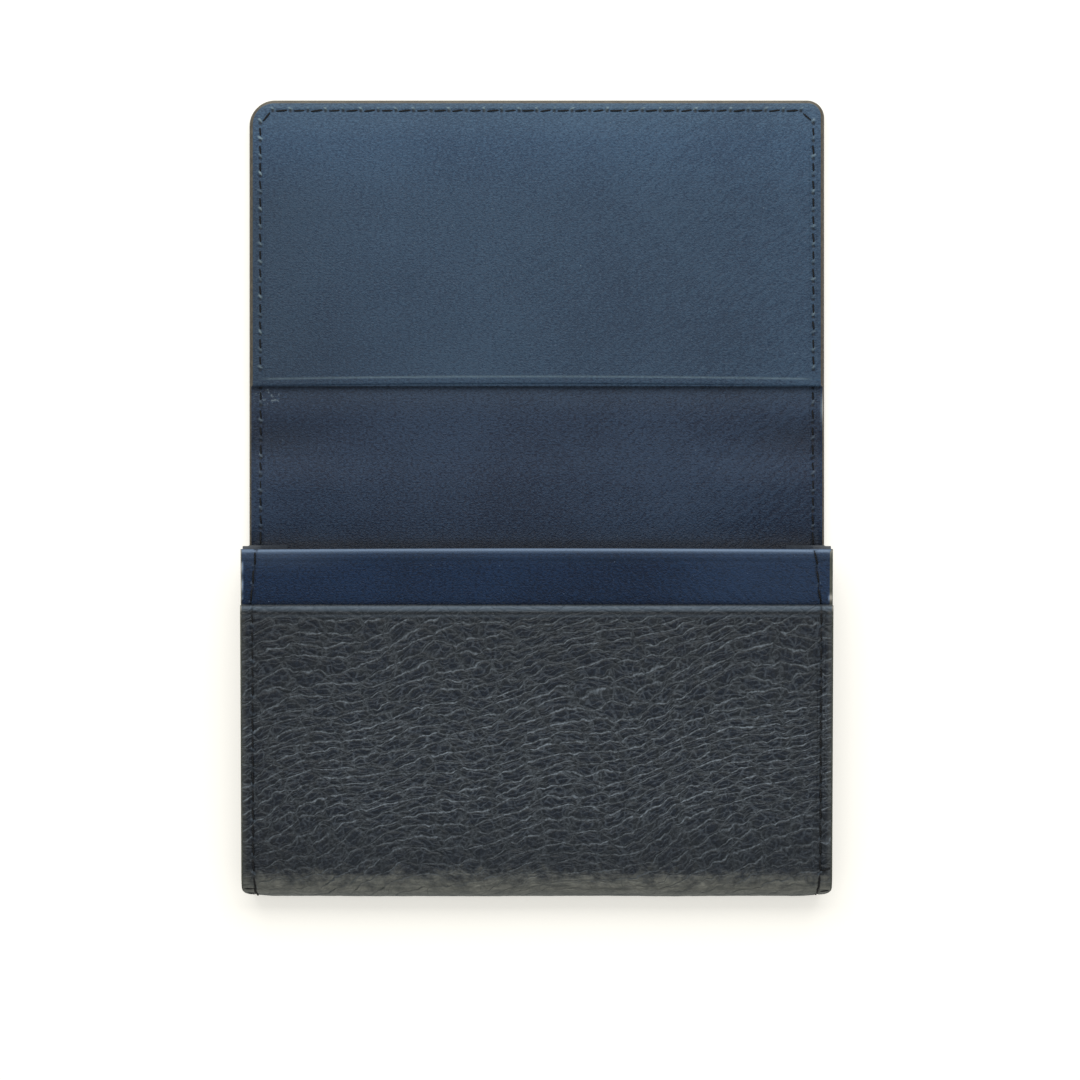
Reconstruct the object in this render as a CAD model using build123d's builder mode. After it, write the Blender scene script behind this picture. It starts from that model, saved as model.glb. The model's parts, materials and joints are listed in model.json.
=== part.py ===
"""Gusseted card holder of sewn leather, lying open: the flap points to +Y and the pocket to -Y.

The outer leather is one strip that runs front, bottom, back, spine and flap. It is modelled as rigid
stretches that meet at the creases where the strip folds.
"""
import math
import os

from build123d import *

# ---------------------------------------------------------------- driving sizes, in millimetres
flap_width = 108.0  # flap, spine and back
front_overhang = 1.0  # front wall past the back at each side
front_width = flap_width + 2 * front_overhang
flap_length = 66.5  # flap crease to free edge
back_length = 68.0  # back crease to the outside of the bottom fold
corner_radius = 3.5  # free corners of the flap
bottom_radius = 4.0  # outside of the rounded bottom fold
wedge_angle = 3.0  # degrees by which the open pocket's front wall leans away from the back

outer_thickness = 1.2  # grained outer leather
board_thickness = 0.5  # stiffening board
lining_thickness = 0.6  # smooth lining leather, where it covers a board
panel_thickness = 0.8  # smooth pocket leather
backing_thickness = 0.5  # lining on the inner side of the divider
gusset_thickness = 0.6  # gusset leather
slot_gap = 0.3  # slack of an empty flat slot

mouth_setback = 3.1  # back crease to the top edge of the divider
divider_show = 10.4  # divider seen above the front pocket
pocket_setback = 13.8  # flap crease to the open edge of the flap pocket
hem_width = 1.9  # turned hem of the three pocket edges
hem_rise = 0.2  # step where a hem is doubled
board_margin = 4.0  # board edge to leather edge
seam_margin = 5.0  # width over which the layers of a pocket are held together

crease_height = outer_thickness / 2  # the folding axes run in the middle of the outer leather
crease_gap = 0.05  # from a folding axis to the leather on either side
closing_clearance = 0.35  # closed flap to the front hem

seam_inset = 2.2  # stitch line to the outside edge
stitch_pitch = 3.3
stitch_length = 2.4
thread_width = 0.42
thread_rise = 0.08  # thread above the leather on the inside faces
groove_width = 0.7
groove_depth = 0.22

flange_inset = 2.8  # outer edge of the flap width to the gusset folds
gusset_angle = 28.0  # lean of each gusset leaf when the pocket stands open
gusset_end = 0.7  # gusset past the top edge of the divider
gusset_clearance = 0.03  # each leaf to the middle of the centre crease
fold_relief = 0.05  # leaf to flange, where the gusset folds
fold_start = 1.0  # start of the pocket layers, up from the bottom fold

# ---------------------------------------------------------------- sizes worked out from those above
lining_bottom = outer_thickness + board_thickness
lining_top = lining_bottom + lining_thickness
pocket_bottom = lining_top + slot_gap
pocket_top = pocket_bottom + panel_thickness
flange_top = lining_top + gusset_thickness

front_bottom = bottom_radius - outer_thickness
divider_top = front_bottom - slot_gap
divider_bottom = divider_top - panel_thickness
backing_bottom = divider_bottom - backing_thickness
front_flange_bottom = backing_bottom - gusset_thickness

sin_wedge = math.sin(math.radians(wedge_angle))
cos_wedge = math.cos(math.radians(wedge_angle))
tan_wedge = math.tan(math.radians(wedge_angle))
mouth_reach = back_length - mouth_setback - bottom_radius
divider_height = (mouth_reach + divider_top * sin_wedge) / cos_wedge
front_height = divider_height - divider_show
front_hem_z = bottom_radius + front_height * sin_wedge + (bottom_radius + hem_rise) * cos_wedge
front_hem_reach = mouth_setback + divider_show * cos_wedge
spine_length = (
    front_hem_z
    + closing_clearance
    + front_hem_reach * tan_wedge
    + (pocket_top + hem_rise - crease_height) / cos_wedge
    - crease_height
)

open_length = flap_length + spine_length + back_length
y_free = open_length / 2
y_flap_crease = y_free - flap_length
y_back_crease = y_flap_crease - spine_length
y_bottom_axis = bottom_radius - open_length / 2
y_pocket_edge = y_flap_crease + pocket_setback
y_mouth = y_back_crease - mouth_setback

flap_half = flap_width / 2
front_half = front_width / 2
flap_seam = flap_half - seam_inset
front_seam = front_half - seam_inset
flange_half = flap_half - flange_inset
back_fold_angle = 90.0
flap_fold_angle = 90.0 + wedge_angle

# The front wall is drawn on its own plane: x across, y up the wall from the bottom fold, z outwards.
front_plane = Plane(
    origin=(0, y_bottom_axis, bottom_radius),
    x_dir=(1, 0, 0),
    z_dir=(0, -sin_wedge, cos_wedge),
)


# ---------------------------------------------------------------- shared operations
def layer(plane, low, high, bottom, top, half_width, mode=Mode.ADD):
    """A flat layer across the holder: two lengths and two heights on a plane."""
    with BuildSketch(plane.offset(bottom)) as outline:
        with Locations((0, (low + high) / 2)):
            Rectangle(2 * half_width, high - low)
    extrude(outline.sketch, amount=top - bottom, mode=mode)


def mitre(y_crease, side, fold_angle):
    """Cuts a layer back from a crease, above the folding axis, so that the layers can fold together."""
    tall = 3 * pocket_top
    near = y_crease + side * crease_gap
    lean = side * tall * math.tan(math.radians(fold_angle / 2))
    far = y_crease - side * tall
    with BuildSketch(Plane.YZ) as wedge:
        with BuildLine():
            Polyline(
                (far, -tall),
                (near, -tall),
                (near, crease_height),
                (near + lean, crease_height + tall),
                (far, crease_height + tall),
                close=True,
            )
        make_face()
    extrude(wedge.sketch, amount=front_width, both=True, mode=Mode.SUBTRACT)


def crease_lead(fold_angle):
    """Distance from a crease to the first thread on the inside of the lining."""
    return (lining_top - crease_height) * math.tan(math.radians(fold_angle / 2)) + 1.0


def both_sides(x, low, high):
    """A straight seam along each side edge."""
    return [((side * x, low), (side * x, high)) for side in (-1, 1)]


def flap_seam_runs(low):
    """The seam round the flap: up one side, across each corner with one stitch, and along the top."""
    corner = stitch_pitch / math.sqrt(2)
    top = y_free - seam_inset
    runs = both_sides(flap_seam, low, top - corner)
    for side in (-1, 1):
        runs.append(((side * flap_seam, top - corner), (side * (flap_seam - corner), top)))
    runs.append(((corner - flap_seam, top), (flap_seam - corner, top)))
    return runs


def grooves(plane, runs, depth):
    """Sinks the thread lines of a seam into a face. A negative depth cuts against the plane's normal."""
    with BuildSketch(plane) as lines:
        for start, end in runs:
            length = math.hypot(end[0] - start[0], end[1] - start[1])
            angle = math.degrees(math.atan2(end[1] - start[1], end[0] - start[0]))
            middle = ((start[0] + end[0]) / 2, (start[1] + end[1]) / 2, 0)
            with Locations(Location(middle, (0, 0, angle))):
                SlotOverall(length + groove_width, groove_width)
    extrude(lines.sketch, amount=depth, mode=Mode.SUBTRACT)


def threads(plane, runs, height):
    """Lays the stitches of a seam, spaced evenly along each straight run."""
    with BuildSketch(plane) as marks:
        for start, end in runs:
            length = math.hypot(end[0] - start[0], end[1] - start[1])
            angle = math.degrees(math.atan2(end[1] - start[1], end[0] - start[0]))
            count = max(1, round(length / stitch_pitch))
            for index in range(count):
                part_way = (index + 0.5) / count
                x = start[0] + (end[0] - start[0]) * part_way
                y = start[1] + (end[1] - start[1]) * part_way
                with Locations(Location((x, y, 0), (0, 0, angle))):
                    SlotOverall(stitch_length, thread_width)
    extrude(marks.sketch, amount=height)


def save(builder, name):
    """Labels a finished piece and writes it as its own node."""
    builder.part.label = name
    export_step(builder.part, f"parts/{name}.step")


os.makedirs("parts", exist_ok=True)
outside_rise = groove_depth - 0.02  # thread on the outside faces lies just below the leather
inside_rise = groove_depth + thread_rise

# ---------------------------------------------------------------- back: stays still
back_outside_seam = both_sides(flap_seam, y_bottom_axis, y_back_crease - 0.8)
back_inside_seam = both_sides(flap_seam, y_bottom_axis + fold_start + 0.5, y_mouth + gusset_end - 0.5)

with BuildPart() as back_outer_leather:
    layer(Plane.XY, y_bottom_axis, y_back_crease, 0, outer_thickness, flap_half)
    with BuildSketch(Plane.YZ):
        with Locations((y_bottom_axis, bottom_radius)):
            Circle(bottom_radius)
            Circle(front_bottom, mode=Mode.SUBTRACT)
        with BuildLine():
            Polyline(
                (y_bottom_axis, -bottom_radius),
                (y_bottom_axis, bottom_radius),
                (y_bottom_axis - 3 * bottom_radius * sin_wedge, bottom_radius + 3 * bottom_radius * cos_wedge),
                (y_bottom_axis + 3 * bottom_radius, bottom_radius + 3 * bottom_radius),
                (y_bottom_axis + 3 * bottom_radius, -bottom_radius),
                close=True,
            )
        make_face(mode=Mode.SUBTRACT)
    extrude(amount=flap_half, both=True)
    mitre(y_back_crease, -1, back_fold_angle)
    grooves(Plane.XY, back_outside_seam, groove_depth)
save(back_outer_leather, "back_outer_leather")

with BuildPart() as back_board:
    layer(
        Plane.XY,
        y_bottom_axis + board_margin,
        y_back_crease - board_margin,
        outer_thickness,
        lining_bottom,
        flap_half - board_margin,
    )
save(back_board, "back_board")

with BuildPart() as back_lining:
    layer(Plane.XY, y_bottom_axis, y_back_crease, outer_thickness, lining_top, flap_half)
    with BuildSketch(Plane.YZ):
        with Locations((y_bottom_axis, bottom_radius)):
            Circle(front_bottom)
            Circle(bottom_radius - lining_top, mode=Mode.SUBTRACT)
        with BuildLine():
            Polyline(
                (y_bottom_axis, -bottom_radius),
                (y_bottom_axis, bottom_radius),
                (y_bottom_axis - 3 * bottom_radius * sin_wedge, bottom_radius + 3 * bottom_radius * cos_wedge),
                (y_bottom_axis + 3 * bottom_radius, bottom_radius + 3 * bottom_radius),
                (y_bottom_axis + 3 * bottom_radius, -bottom_radius),
                close=True,
            )
        make_face(mode=Mode.SUBTRACT)
    extrude(amount=flap_half, both=True)
    layer(
        Plane.XY,
        y_bottom_axis + board_margin,
        y_back_crease - board_margin,
        outer_thickness,
        lining_bottom,
        flap_half - board_margin,
        mode=Mode.SUBTRACT,
    )
    mitre(y_back_crease, -1, back_fold_angle)
save(back_lining, "back_lining")

with BuildPart() as back_stitching:
    threads(Plane.XY.offset(groove_depth), back_outside_seam, -outside_rise)
    threads(Plane.XY.offset(flange_top - groove_depth), back_inside_seam, inside_rise)
save(back_stitching, "back_stitching")

# ---------------------------------------------------------------- spine: folds up from the back
spine_outside_seam = both_sides(flap_seam, y_back_crease + 0.8, y_flap_crease - 0.8)
spine_inside_seam = both_sides(
    flap_seam,
    y_back_crease + crease_lead(back_fold_angle),
    y_flap_crease - crease_lead(flap_fold_angle),
)

with BuildPart() as spine_outer_leather:
    layer(Plane.XY, y_back_crease, y_flap_crease, 0, outer_thickness, flap_half)
    mitre(y_back_crease, 1, back_fold_angle)
    mitre(y_flap_crease, -1, flap_fold_angle)
    grooves(Plane.XY, spine_outside_seam, groove_depth)
save(spine_outer_leather, "spine_outer_leather")

with BuildPart() as spine_lining:
    layer(Plane.XY, y_back_crease, y_flap_crease, outer_thickness, lining_top, flap_half)
    mitre(y_back_crease, 1, back_fold_angle)
    mitre(y_flap_crease, -1, flap_fold_angle)
    grooves(Plane.XY.offset(lining_top), spine_inside_seam, -groove_depth)
save(spine_lining, "spine_lining")

with BuildPart() as spine_stitching:
    threads(Plane.XY.offset(groove_depth), spine_outside_seam, -outside_rise)
    threads(Plane.XY.offset(lining_top - groove_depth), spine_inside_seam, inside_rise)
save(spine_stitching, "spine_stitching")

# ---------------------------------------------------------------- flap: folds over from the spine
flap_outside_seam = flap_seam_runs(y_flap_crease + 0.8)
flap_lining_seam = both_sides(
    flap_seam, y_flap_crease + crease_lead(flap_fold_angle), y_pocket_edge - groove_width
)
flap_pocket_seam = flap_seam_runs(y_pocket_edge + hem_width + groove_width)

with BuildPart() as flap_outer_leather:
    layer(Plane.XY, y_flap_crease, y_free, 0, outer_thickness, flap_half)
    fillet(flap_outer_leather.edges().filter_by(Axis.Z).group_by(Axis.Y)[-1], radius=corner_radius)
    mitre(y_flap_crease, 1, flap_fold_angle)
    grooves(Plane.XY, flap_outside_seam, groove_depth)
save(flap_outer_leather, "flap_outer_leather")

with BuildPart() as flap_board:
    layer(
        Plane.XY,
        y_flap_crease + board_margin,
        y_free - board_margin,
        outer_thickness,
        lining_bottom,
        flap_half - board_margin,
    )
save(flap_board, "flap_board")

with BuildPart() as flap_lining:
    layer(Plane.XY, y_flap_crease, y_free, outer_thickness, lining_top, flap_half)
    fillet(flap_lining.edges().filter_by(Axis.Z).group_by(Axis.Y)[-1], radius=corner_radius)
    layer(
        Plane.XY,
        y_flap_crease + board_margin,
        y_free - board_margin,
        outer_thickness,
        lining_bottom,
        flap_half - board_margin,
        mode=Mode.SUBTRACT,
    )
    mitre(y_flap_crease, 1, flap_fold_angle)
    grooves(Plane.XY.offset(lining_top), flap_lining_seam, -groove_depth)
save(flap_lining, "flap_lining")

with BuildPart() as flap_pocket_panel:
    layer(Plane.XY, y_pocket_edge, y_free, lining_top, pocket_top, flap_half)
    fillet(flap_pocket_panel.edges().filter_by(Axis.Z).group_by(Axis.Y)[-1], radius=corner_radius)
    layer(
        Plane.XY,
        y_pocket_edge - hem_width,
        y_free - seam_margin,
        lining_top,
        pocket_bottom,
        flap_half - seam_margin,
        mode=Mode.SUBTRACT,
    )
    layer(Plane.XY, y_pocket_edge, y_pocket_edge + hem_width, pocket_bottom, pocket_top + hem_rise, flap_half)
    fillet(flap_pocket_panel.edges().filter_by(Axis.X).group_by(Axis.Z)[-1].sort_by(Axis.Y)[0], radius=0.4)
    grooves(Plane.XY.offset(pocket_top), flap_pocket_seam, -groove_depth)
save(flap_pocket_panel, "flap_pocket_panel")

with BuildPart() as flap_stitching:
    threads(Plane.XY.offset(groove_depth), flap_outside_seam, -outside_rise)
    threads(Plane.XY.offset(lining_top - groove_depth), flap_lining_seam, inside_rise)
    threads(Plane.XY.offset(pocket_top - groove_depth), flap_pocket_seam, inside_rise)
save(flap_stitching, "flap_stitching")

# ---------------------------------------------------------------- front pocket: presses down to the back
front_outside_seam = both_sides(front_seam, fold_start + 0.5, front_height - hem_width - groove_width)
divider_seam = both_sides(front_seam, front_height + groove_width, divider_height - hem_width - 0.5)
front_inside_seam = both_sides(front_seam, fold_start + 0.5, divider_height + gusset_end - 0.5)

with BuildPart() as front_outer_leather:
    layer(front_plane, 0.05, front_height, front_bottom, bottom_radius, front_half)
    layer(
        front_plane,
        front_height - hem_width,
        front_height,
        front_bottom,
        bottom_radius + hem_rise,
        front_half,
    )
    fillet(front_outer_leather.edges().filter_by(Axis.X).sort_by(Axis.Z)[-1], radius=0.4)
    grooves(front_plane.offset(bottom_radius), front_outside_seam, -groove_depth)
save(front_outer_leather, "front_outer_leather")

with BuildPart() as divider_panel:
    layer(front_plane, fold_start, divider_height, divider_bottom, divider_top, front_half)
    layer(front_plane, fold_start, front_height, divider_top, front_bottom, front_half)
    layer(
        front_plane,
        fold_start + seam_margin,
        front_height + hem_width,
        divider_top,
        front_bottom,
        front_half - seam_margin,
        mode=Mode.SUBTRACT,
    )
    layer(
        front_plane,
        divider_height - hem_width,
        divider_height,
        divider_bottom,
        divider_top + hem_rise,
        front_half,
    )
    fillet(divider_panel.edges().filter_by(Axis.X).sort_by(Axis.Z)[-1], radius=0.4)
    grooves(front_plane.offset(divider_top), divider_seam, -groove_depth)
save(divider_panel, "divider_panel")

with BuildPart() as divider_lining:
    layer(front_plane, fold_start, divider_height, backing_bottom, divider_bottom, front_half)
save(divider_lining, "divider_lining")

with BuildPart() as front_stitching:
    threads(front_plane.offset(bottom_radius - groove_depth), front_outside_seam, inside_rise)
    threads(front_plane.offset(divider_top - groove_depth), divider_seam, inside_rise)
    threads(front_plane.offset(front_flange_bottom + groove_depth), front_inside_seam, -inside_rise)
save(front_stitching, "front_stitching")

# ---------------------------------------------------------------- gussets: each a strip folded inwards
# Rear and front fold lines run in the middle of the flanges. The centre crease lies half way between.
rear_fold_z = lining_top + gusset_thickness / 2
front_fold_n = front_flange_bottom + gusset_thickness / 2
lean = math.radians(gusset_angle)
leaf_start = gusset_thickness / 2 * math.tan(lean) + fold_relief
half_gap_low = (bottom_radius + front_fold_n - rear_fold_z) / 2
leaf_low = fold_start
leaf_high = divider_height + gusset_end


def leaf_depth(height):
    """Depth of a gusset leaf at a height up the pocket, from its fold to the centre crease."""
    half_gap = half_gap_low + height * sin_wedge / 2
    return (half_gap - gusset_clearance - gusset_thickness / 2 * math.cos(lean)) / math.sin(lean)


def flange(plane, side, half_width, low, high, bottom, top):
    """The sewn edge of a gusset, flat on its wall."""
    with BuildSketch(plane.offset(bottom)) as outline:
        with Locations((side * (half_width + flange_half) / 2, (low + high) / 2)):
            Rectangle(half_width - flange_half, high - low)
    extrude(outline.sketch, amount=top - bottom)


def leaf(plane, side, facing):
    """One leaf of a gusset, leaning in from its fold line. It is deeper towards the mouth."""
    origin = plane.from_local_coords((side * flange_half, 0, 0))
    inward = plane.x_dir * (-side * math.cos(lean)) + plane.z_dir * (facing * math.sin(lean))
    leaf_plane = Plane(origin=origin, x_dir=inward, z_dir=inward.cross(plane.y_dir))
    with BuildSketch(leaf_plane.offset(-gusset_thickness / 2)) as outline:
        with BuildLine():
            Polyline(
                (leaf_start, leaf_low),
                (leaf_depth(leaf_low), leaf_low),
                (leaf_depth(leaf_high), leaf_high),
                (leaf_start, leaf_high),
                close=True,
            )
        make_face()
    extrude(outline.sketch, amount=gusset_thickness)


rear_fold_plane = Plane(origin=(0, y_bottom_axis, rear_fold_z), x_dir=(1, 0, 0), z_dir=(0, 0, 1))
front_fold_plane = front_plane.offset(front_fold_n)

for side, side_name in ((-1, "left"), (1, "right")):
    with BuildPart() as rear_flange:
        flange(rear_fold_plane, side, flap_half, leaf_low, leaf_high, -gusset_thickness / 2, gusset_thickness / 2)
        grooves(Plane.XY.offset(flange_top), back_inside_seam, -groove_depth)
    save(rear_flange, f"gusset_{side_name}_rear_flange")

    with BuildPart() as rear_leaf:
        leaf(rear_fold_plane, side, 1)
    save(rear_leaf, f"gusset_{side_name}_rear_leaf")

    with BuildPart() as front_leaf:
        leaf(front_fold_plane, side, -1)
    save(front_leaf, f"gusset_{side_name}_front_leaf")

    with BuildPart() as front_flange:
        flange(front_plane, side, front_half, leaf_low, leaf_high, front_flange_bottom, backing_bottom)
        grooves(front_plane.offset(front_flange_bottom), front_inside_seam, groove_depth)
    save(front_flange, f"gusset_{side_name}_front_flange")
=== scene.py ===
"""Gusseted card holder of sewn navy leather, lying open on a pale table under soft light."""
import json
import math

import bpy
import numpy as np
from mathutils import Matrix, Vector

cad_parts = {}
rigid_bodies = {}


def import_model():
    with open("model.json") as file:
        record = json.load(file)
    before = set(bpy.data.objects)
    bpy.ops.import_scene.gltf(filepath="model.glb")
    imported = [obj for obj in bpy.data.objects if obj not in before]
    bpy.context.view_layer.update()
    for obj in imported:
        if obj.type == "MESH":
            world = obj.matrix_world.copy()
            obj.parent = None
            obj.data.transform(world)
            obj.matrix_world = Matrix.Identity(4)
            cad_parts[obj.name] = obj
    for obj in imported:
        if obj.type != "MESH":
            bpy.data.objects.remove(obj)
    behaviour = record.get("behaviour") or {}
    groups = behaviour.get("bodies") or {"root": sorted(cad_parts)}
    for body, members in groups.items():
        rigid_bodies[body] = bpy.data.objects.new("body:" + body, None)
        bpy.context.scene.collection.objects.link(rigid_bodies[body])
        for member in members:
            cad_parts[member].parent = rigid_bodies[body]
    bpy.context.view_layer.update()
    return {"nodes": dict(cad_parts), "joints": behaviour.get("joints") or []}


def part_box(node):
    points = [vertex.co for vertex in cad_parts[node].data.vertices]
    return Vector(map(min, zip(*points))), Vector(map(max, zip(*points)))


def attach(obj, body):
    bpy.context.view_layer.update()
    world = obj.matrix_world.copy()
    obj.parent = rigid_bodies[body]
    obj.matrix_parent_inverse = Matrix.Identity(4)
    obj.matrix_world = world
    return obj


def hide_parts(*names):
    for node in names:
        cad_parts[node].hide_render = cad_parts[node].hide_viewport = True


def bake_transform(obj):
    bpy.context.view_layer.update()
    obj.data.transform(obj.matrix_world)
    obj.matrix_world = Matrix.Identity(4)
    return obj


bpy.ops.object.select_all(action="SELECT")
bpy.ops.object.delete()
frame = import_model()
MM = 0.001
NEAR, TOUCH, TINY = 1e-5, 1e-6, 1e-7  # what counts as the same place, from loose to strict
SKIN = 0.04 * MM  # what lies this near to a face is on it
RIM = 0.31 * MM  # width of a painted edge: its rounding and a little more

# ------------------------------------------------------------------ places, read from the CAD model
joints = {joint["name"]: joint for joint in frame["joints"]}
BACK_CREASE = joints["spine_fold"]["pos_m"][1]
FLAP_CREASE = joints["flap_fold"]["pos_m"][1]
SPINE_MIDDLE = (BACK_CREASE + FLAP_CREASE) / 2
WEDGE = math.radians(-joints["pocket_press"]["range_deg"][0])
BOTTOM = joints["gusset_left_rear_fold"]["pos_m"][1]  # middle of the rounded bottom fold
RADIUS = round((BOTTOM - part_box("back_outer_leather")[0][1]) / MM, 1) * MM
BACK_SPLIT = (BACK_CREASE + BOTTOM) / 2
FREE_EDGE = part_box("flap_outer_leather")[1][1]
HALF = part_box("flap_outer_leather")[1][0]
FRONT_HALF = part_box("front_outer_leather")[1][0]
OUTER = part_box("spine_outer_leather")[1][2]
LINING_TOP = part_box("spine_lining")[1][2]
POCKET_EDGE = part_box("flap_pocket_panel")[0][1]
BACKING = 1.2 * MM  # inner face of the divider, out from the bottom fold's middle
DIVIDER_FACE = 2.5 * MM
PANEL_TOP = 3.4 * MM
HEM = 1.5 * MM
DIVIDER_HEM = 1.9 * MM
HEM_RISE = 0.2 * MM
SEAM = HALF - 2.2 * MM
FRONT_SEAM = FRONT_HALF - 1.8 * MM
SEAM_BAND, IN_BAND = 0.8 * MM, 0.75 * MM  # a seam is worked more finely this far to both sides
LINE = 0.55 * MM  # half the width of the groove that the stitches lie in
PITCH = 3.3 * MM  # from needle hole to needle hole
LEFT_CORNER, RIGHT_CORNER = 4.8 * MM, 3.2 * MM  # cut by hand, so a little unlike
COS, SIN = math.cos(WEDGE), math.sin(WEDGE)


def up_the_wall(node, depth):
    """Length of a layer of the front wall, from the bottom fold to its top edge."""
    return (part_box(node)[1][1] - BOTTOM + depth * SIN) / COS


FRONT_HEIGHT = up_the_wall("front_outer_leather", RADIUS - OUTER) - 0.55 * MM  # the turned edge draws down
DIVIDER_HEIGHT = up_the_wall("divider_panel", 1.7 * MM) - 0.2 * MM


# ------------------------------------------------------------------ working on a piece
def read(group, name, width, kind=float):
    values = np.empty(len(group) * width, kind)
    group.foreach_get(name, values)
    return values.reshape(-1, width)


def slab(name, low, high):
    """A block of leather between two corners."""
    bpy.ops.object.select_all(action="DESELECT")
    bpy.ops.mesh.primitive_cube_add(size=1, location=[(a + b) / 2 for a, b in zip(low, high)])
    piece = bpy.context.object
    piece.name = piece.data.name = name
    piece.scale = [b - a for a, b in zip(low, high)]
    bpy.ops.object.transform_apply(location=True, rotation=True, scale=True)
    return piece


def everything(*spots):
    return np.ones(len(spots[0]), bool)


def pick(*pieces):
    """Selects only these pieces, and makes the first one active."""
    bpy.ops.object.select_all(action="DESELECT")
    for piece in pieces:
        piece.select_set(True)
    bpy.context.view_layer.objects.active = pieces[0]


def edges(mesh):
    """The middle of each edge, and the step from one end of it to the other."""
    spots = read(mesh.vertices, "co", 3)
    ends = read(mesh.edges, "vertices", 2, int)
    start, end = spots[ends[:, 0]], spots[ends[:, 1]]
    return (start + end) / 2, end - start


def work(piece, kind, test, tool, **settings):
    """Selects the vertices, edges or faces that pass a test on their place, and uses one tool on them."""
    mesh = piece.data
    groups = {"VERT": mesh.vertices, "EDGE": mesh.edges, "FACE": mesh.polygons}
    for group in groups.values():
        group.foreach_set("select", np.zeros(len(group), bool))
    if kind == "VERT":
        chosen = test(read(mesh.vertices, "co", 3))
    elif kind == "EDGE":
        chosen = test(*edges(mesh))
    else:
        chosen = test(read(mesh.polygons, "center", 3), read(mesh.polygons, "normal", 3))
    groups[kind].foreach_set("select", chosen)
    pick(piece)
    bpy.context.tool_settings.mesh_select_mode = [name == kind for name in groups]
    bpy.ops.object.mode_set(mode="EDIT")
    bpy.ops.mesh.select_mode(type=kind)
    tool(**settings)
    bpy.ops.object.mode_set(mode="OBJECT")


def slice_across(piece, axis, places):
    """Adds lines right round a piece where planes square to an axis cross it."""
    normal = [float(axis == name) for name in "XYZ"]
    for place in places:
        point = [place * part for part in normal]
        work(piece, "FACE", everything, bpy.ops.mesh.bisect, plane_co=point, plane_no=normal, threshold=TINY)


def refine(piece, axis, pitch, where):
    """Divides the edges that run along an axis into steps of about a pitch, where a test on them allows."""
    column = "XYZ".index(axis)

    def cuts_needed(middle, run):
        length = np.linalg.norm(run, axis=1)
        along = np.abs(run[:, column]) > 0.9 * length
        steps = np.ceil(length / pitch - 0.3) - 1
        return np.where(along & where(middle), np.clip(steps, 0, 30), 0).astype(int)

    for _ in range(40):
        needed = cuts_needed(*edges(piece.data))
        if not needed.any():
            return
        cuts = int(needed.max())
        work(
            piece, "EDGE", lambda middle, run: cuts_needed(middle, run) == cuts,
            bpy.ops.mesh.subdivide, number_cuts=cuts,
        )


def apply_all(piece):
    pick(piece)
    for modifier in list(piece.modifiers):
        bpy.ops.object.modifier_apply(modifier=modifier.name)


def mask(piece, field):
    """A vertex group whose weights follow a field from 0 to 1 over the piece."""
    weights = np.clip(field(read(piece.data.vertices, "co", 3)), 0, 1)
    group = piece.vertex_groups.new(name="mask")
    levels = np.round(weights * 200).astype(int)
    for level in np.unique(levels[levels > 0]):
        group.add(np.nonzero(levels == level)[0].tolist(), level / 200, "REPLACE")
    return group


def push(piece, field, direction, amount, texture=None):
    """Moves the surface by an amount, weighted by a field: evenly, or to both sides as a texture says."""
    group = mask(piece, field)
    modifier = piece.modifiers.new("push", "DISPLACE")
    modifier.direction = direction
    modifier.strength = amount
    modifier.vertex_group = group.name
    if texture:
        modifier.texture = texture
        modifier.texture_coords = "LOCAL"
    else:
        modifier.mid_level = 0
    apply_all(piece)
    piece.vertex_groups.clear()


def ruffle(piece, field, size, depth, direction="NORMAL"):
    """Soft random unevenness of a given size and depth, weighted by a field."""
    cloud = bpy.data.textures.new("leather_slack", "CLOUDS")
    cloud.noise_scale = size
    cloud.noise_depth = 1
    push(piece, field, direction, depth, cloud)


def ramp(values, low, high):
    """0 below low, 1 above high, and smooth between."""
    t = np.clip((values - low) / (high - low), 0, 1)
    return t * t * (3 - 2 * t)


def bump_at(values, middle, width):
    """1 at the middle, fading smoothly to 0 over a width on both sides."""
    return ramp(width - np.abs(values - middle), 0, width)


def inside(spots, half):
    """How far a point lies in from the nearer side of a layer of a given half width."""
    return half - np.abs(spots[:, 0])


def tilt(piece):
    """Leans a flat layer of the front wall away from the back, about the bottom fold."""
    work(
        piece, "VERT", everything, bpy.ops.transform.rotate, value=-WEDGE, orient_axis="X",
        center_override=(0, BOTTOM, RADIUS),
    )


def note(piece, name, values):
    """Stores one number or one vector for each point of a piece, for its material to read."""
    values = np.asarray(values, np.float32)
    kind, key = ("FLOAT", "value") if values.ndim == 1 else ("FLOAT_VECTOR", "vector")
    attribute = piece.data.attributes.new(name, kind, "POINT")
    attribute.data.foreach_set(key, values.ravel())


# ------------------------------------------------------------------ node trees
SOFT = {"interpolation_type": "SMOOTHSTEP"}
FLAT = {"noise_dimensions": "2D"}
RGBA = {"data_type": "RGBA"}
CELL_EDGES = {"voronoi_dimensions": "2D", "feature": "DISTANCE_TO_EDGE"}


def add(tree, kind, inputs=None, **settings):
    """Adds a node with its settings, and links or sets its inputs. A node given as an input is linked from
    its first output in use."""
    node = tree.nodes.new(kind if "Node" in kind else "ShaderNode" + kind)
    for name, value in settings.items():
        setattr(node, name, value)
    for name, value in (inputs or {}).items():
        if isinstance(value, bpy.types.Node):
            value = next(socket for socket in value.outputs if socket.enabled)
        if isinstance(value, bpy.types.NodeSocket):
            tree.links.new(value, node.inputs[name])
        else:
            node.inputs[name].default_value = value
    return node


def linear(code):
    """An sRGB hex colour as linear red, green, blue and alpha."""
    parts = [int(code[i:i + 2], 16) / 255 for i in (1, 3, 5)]
    return [part / 12.92 if part <= 0.04045 else ((part + 0.055) / 1.055) ** 2.4 for part in parts] + [1]


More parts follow.
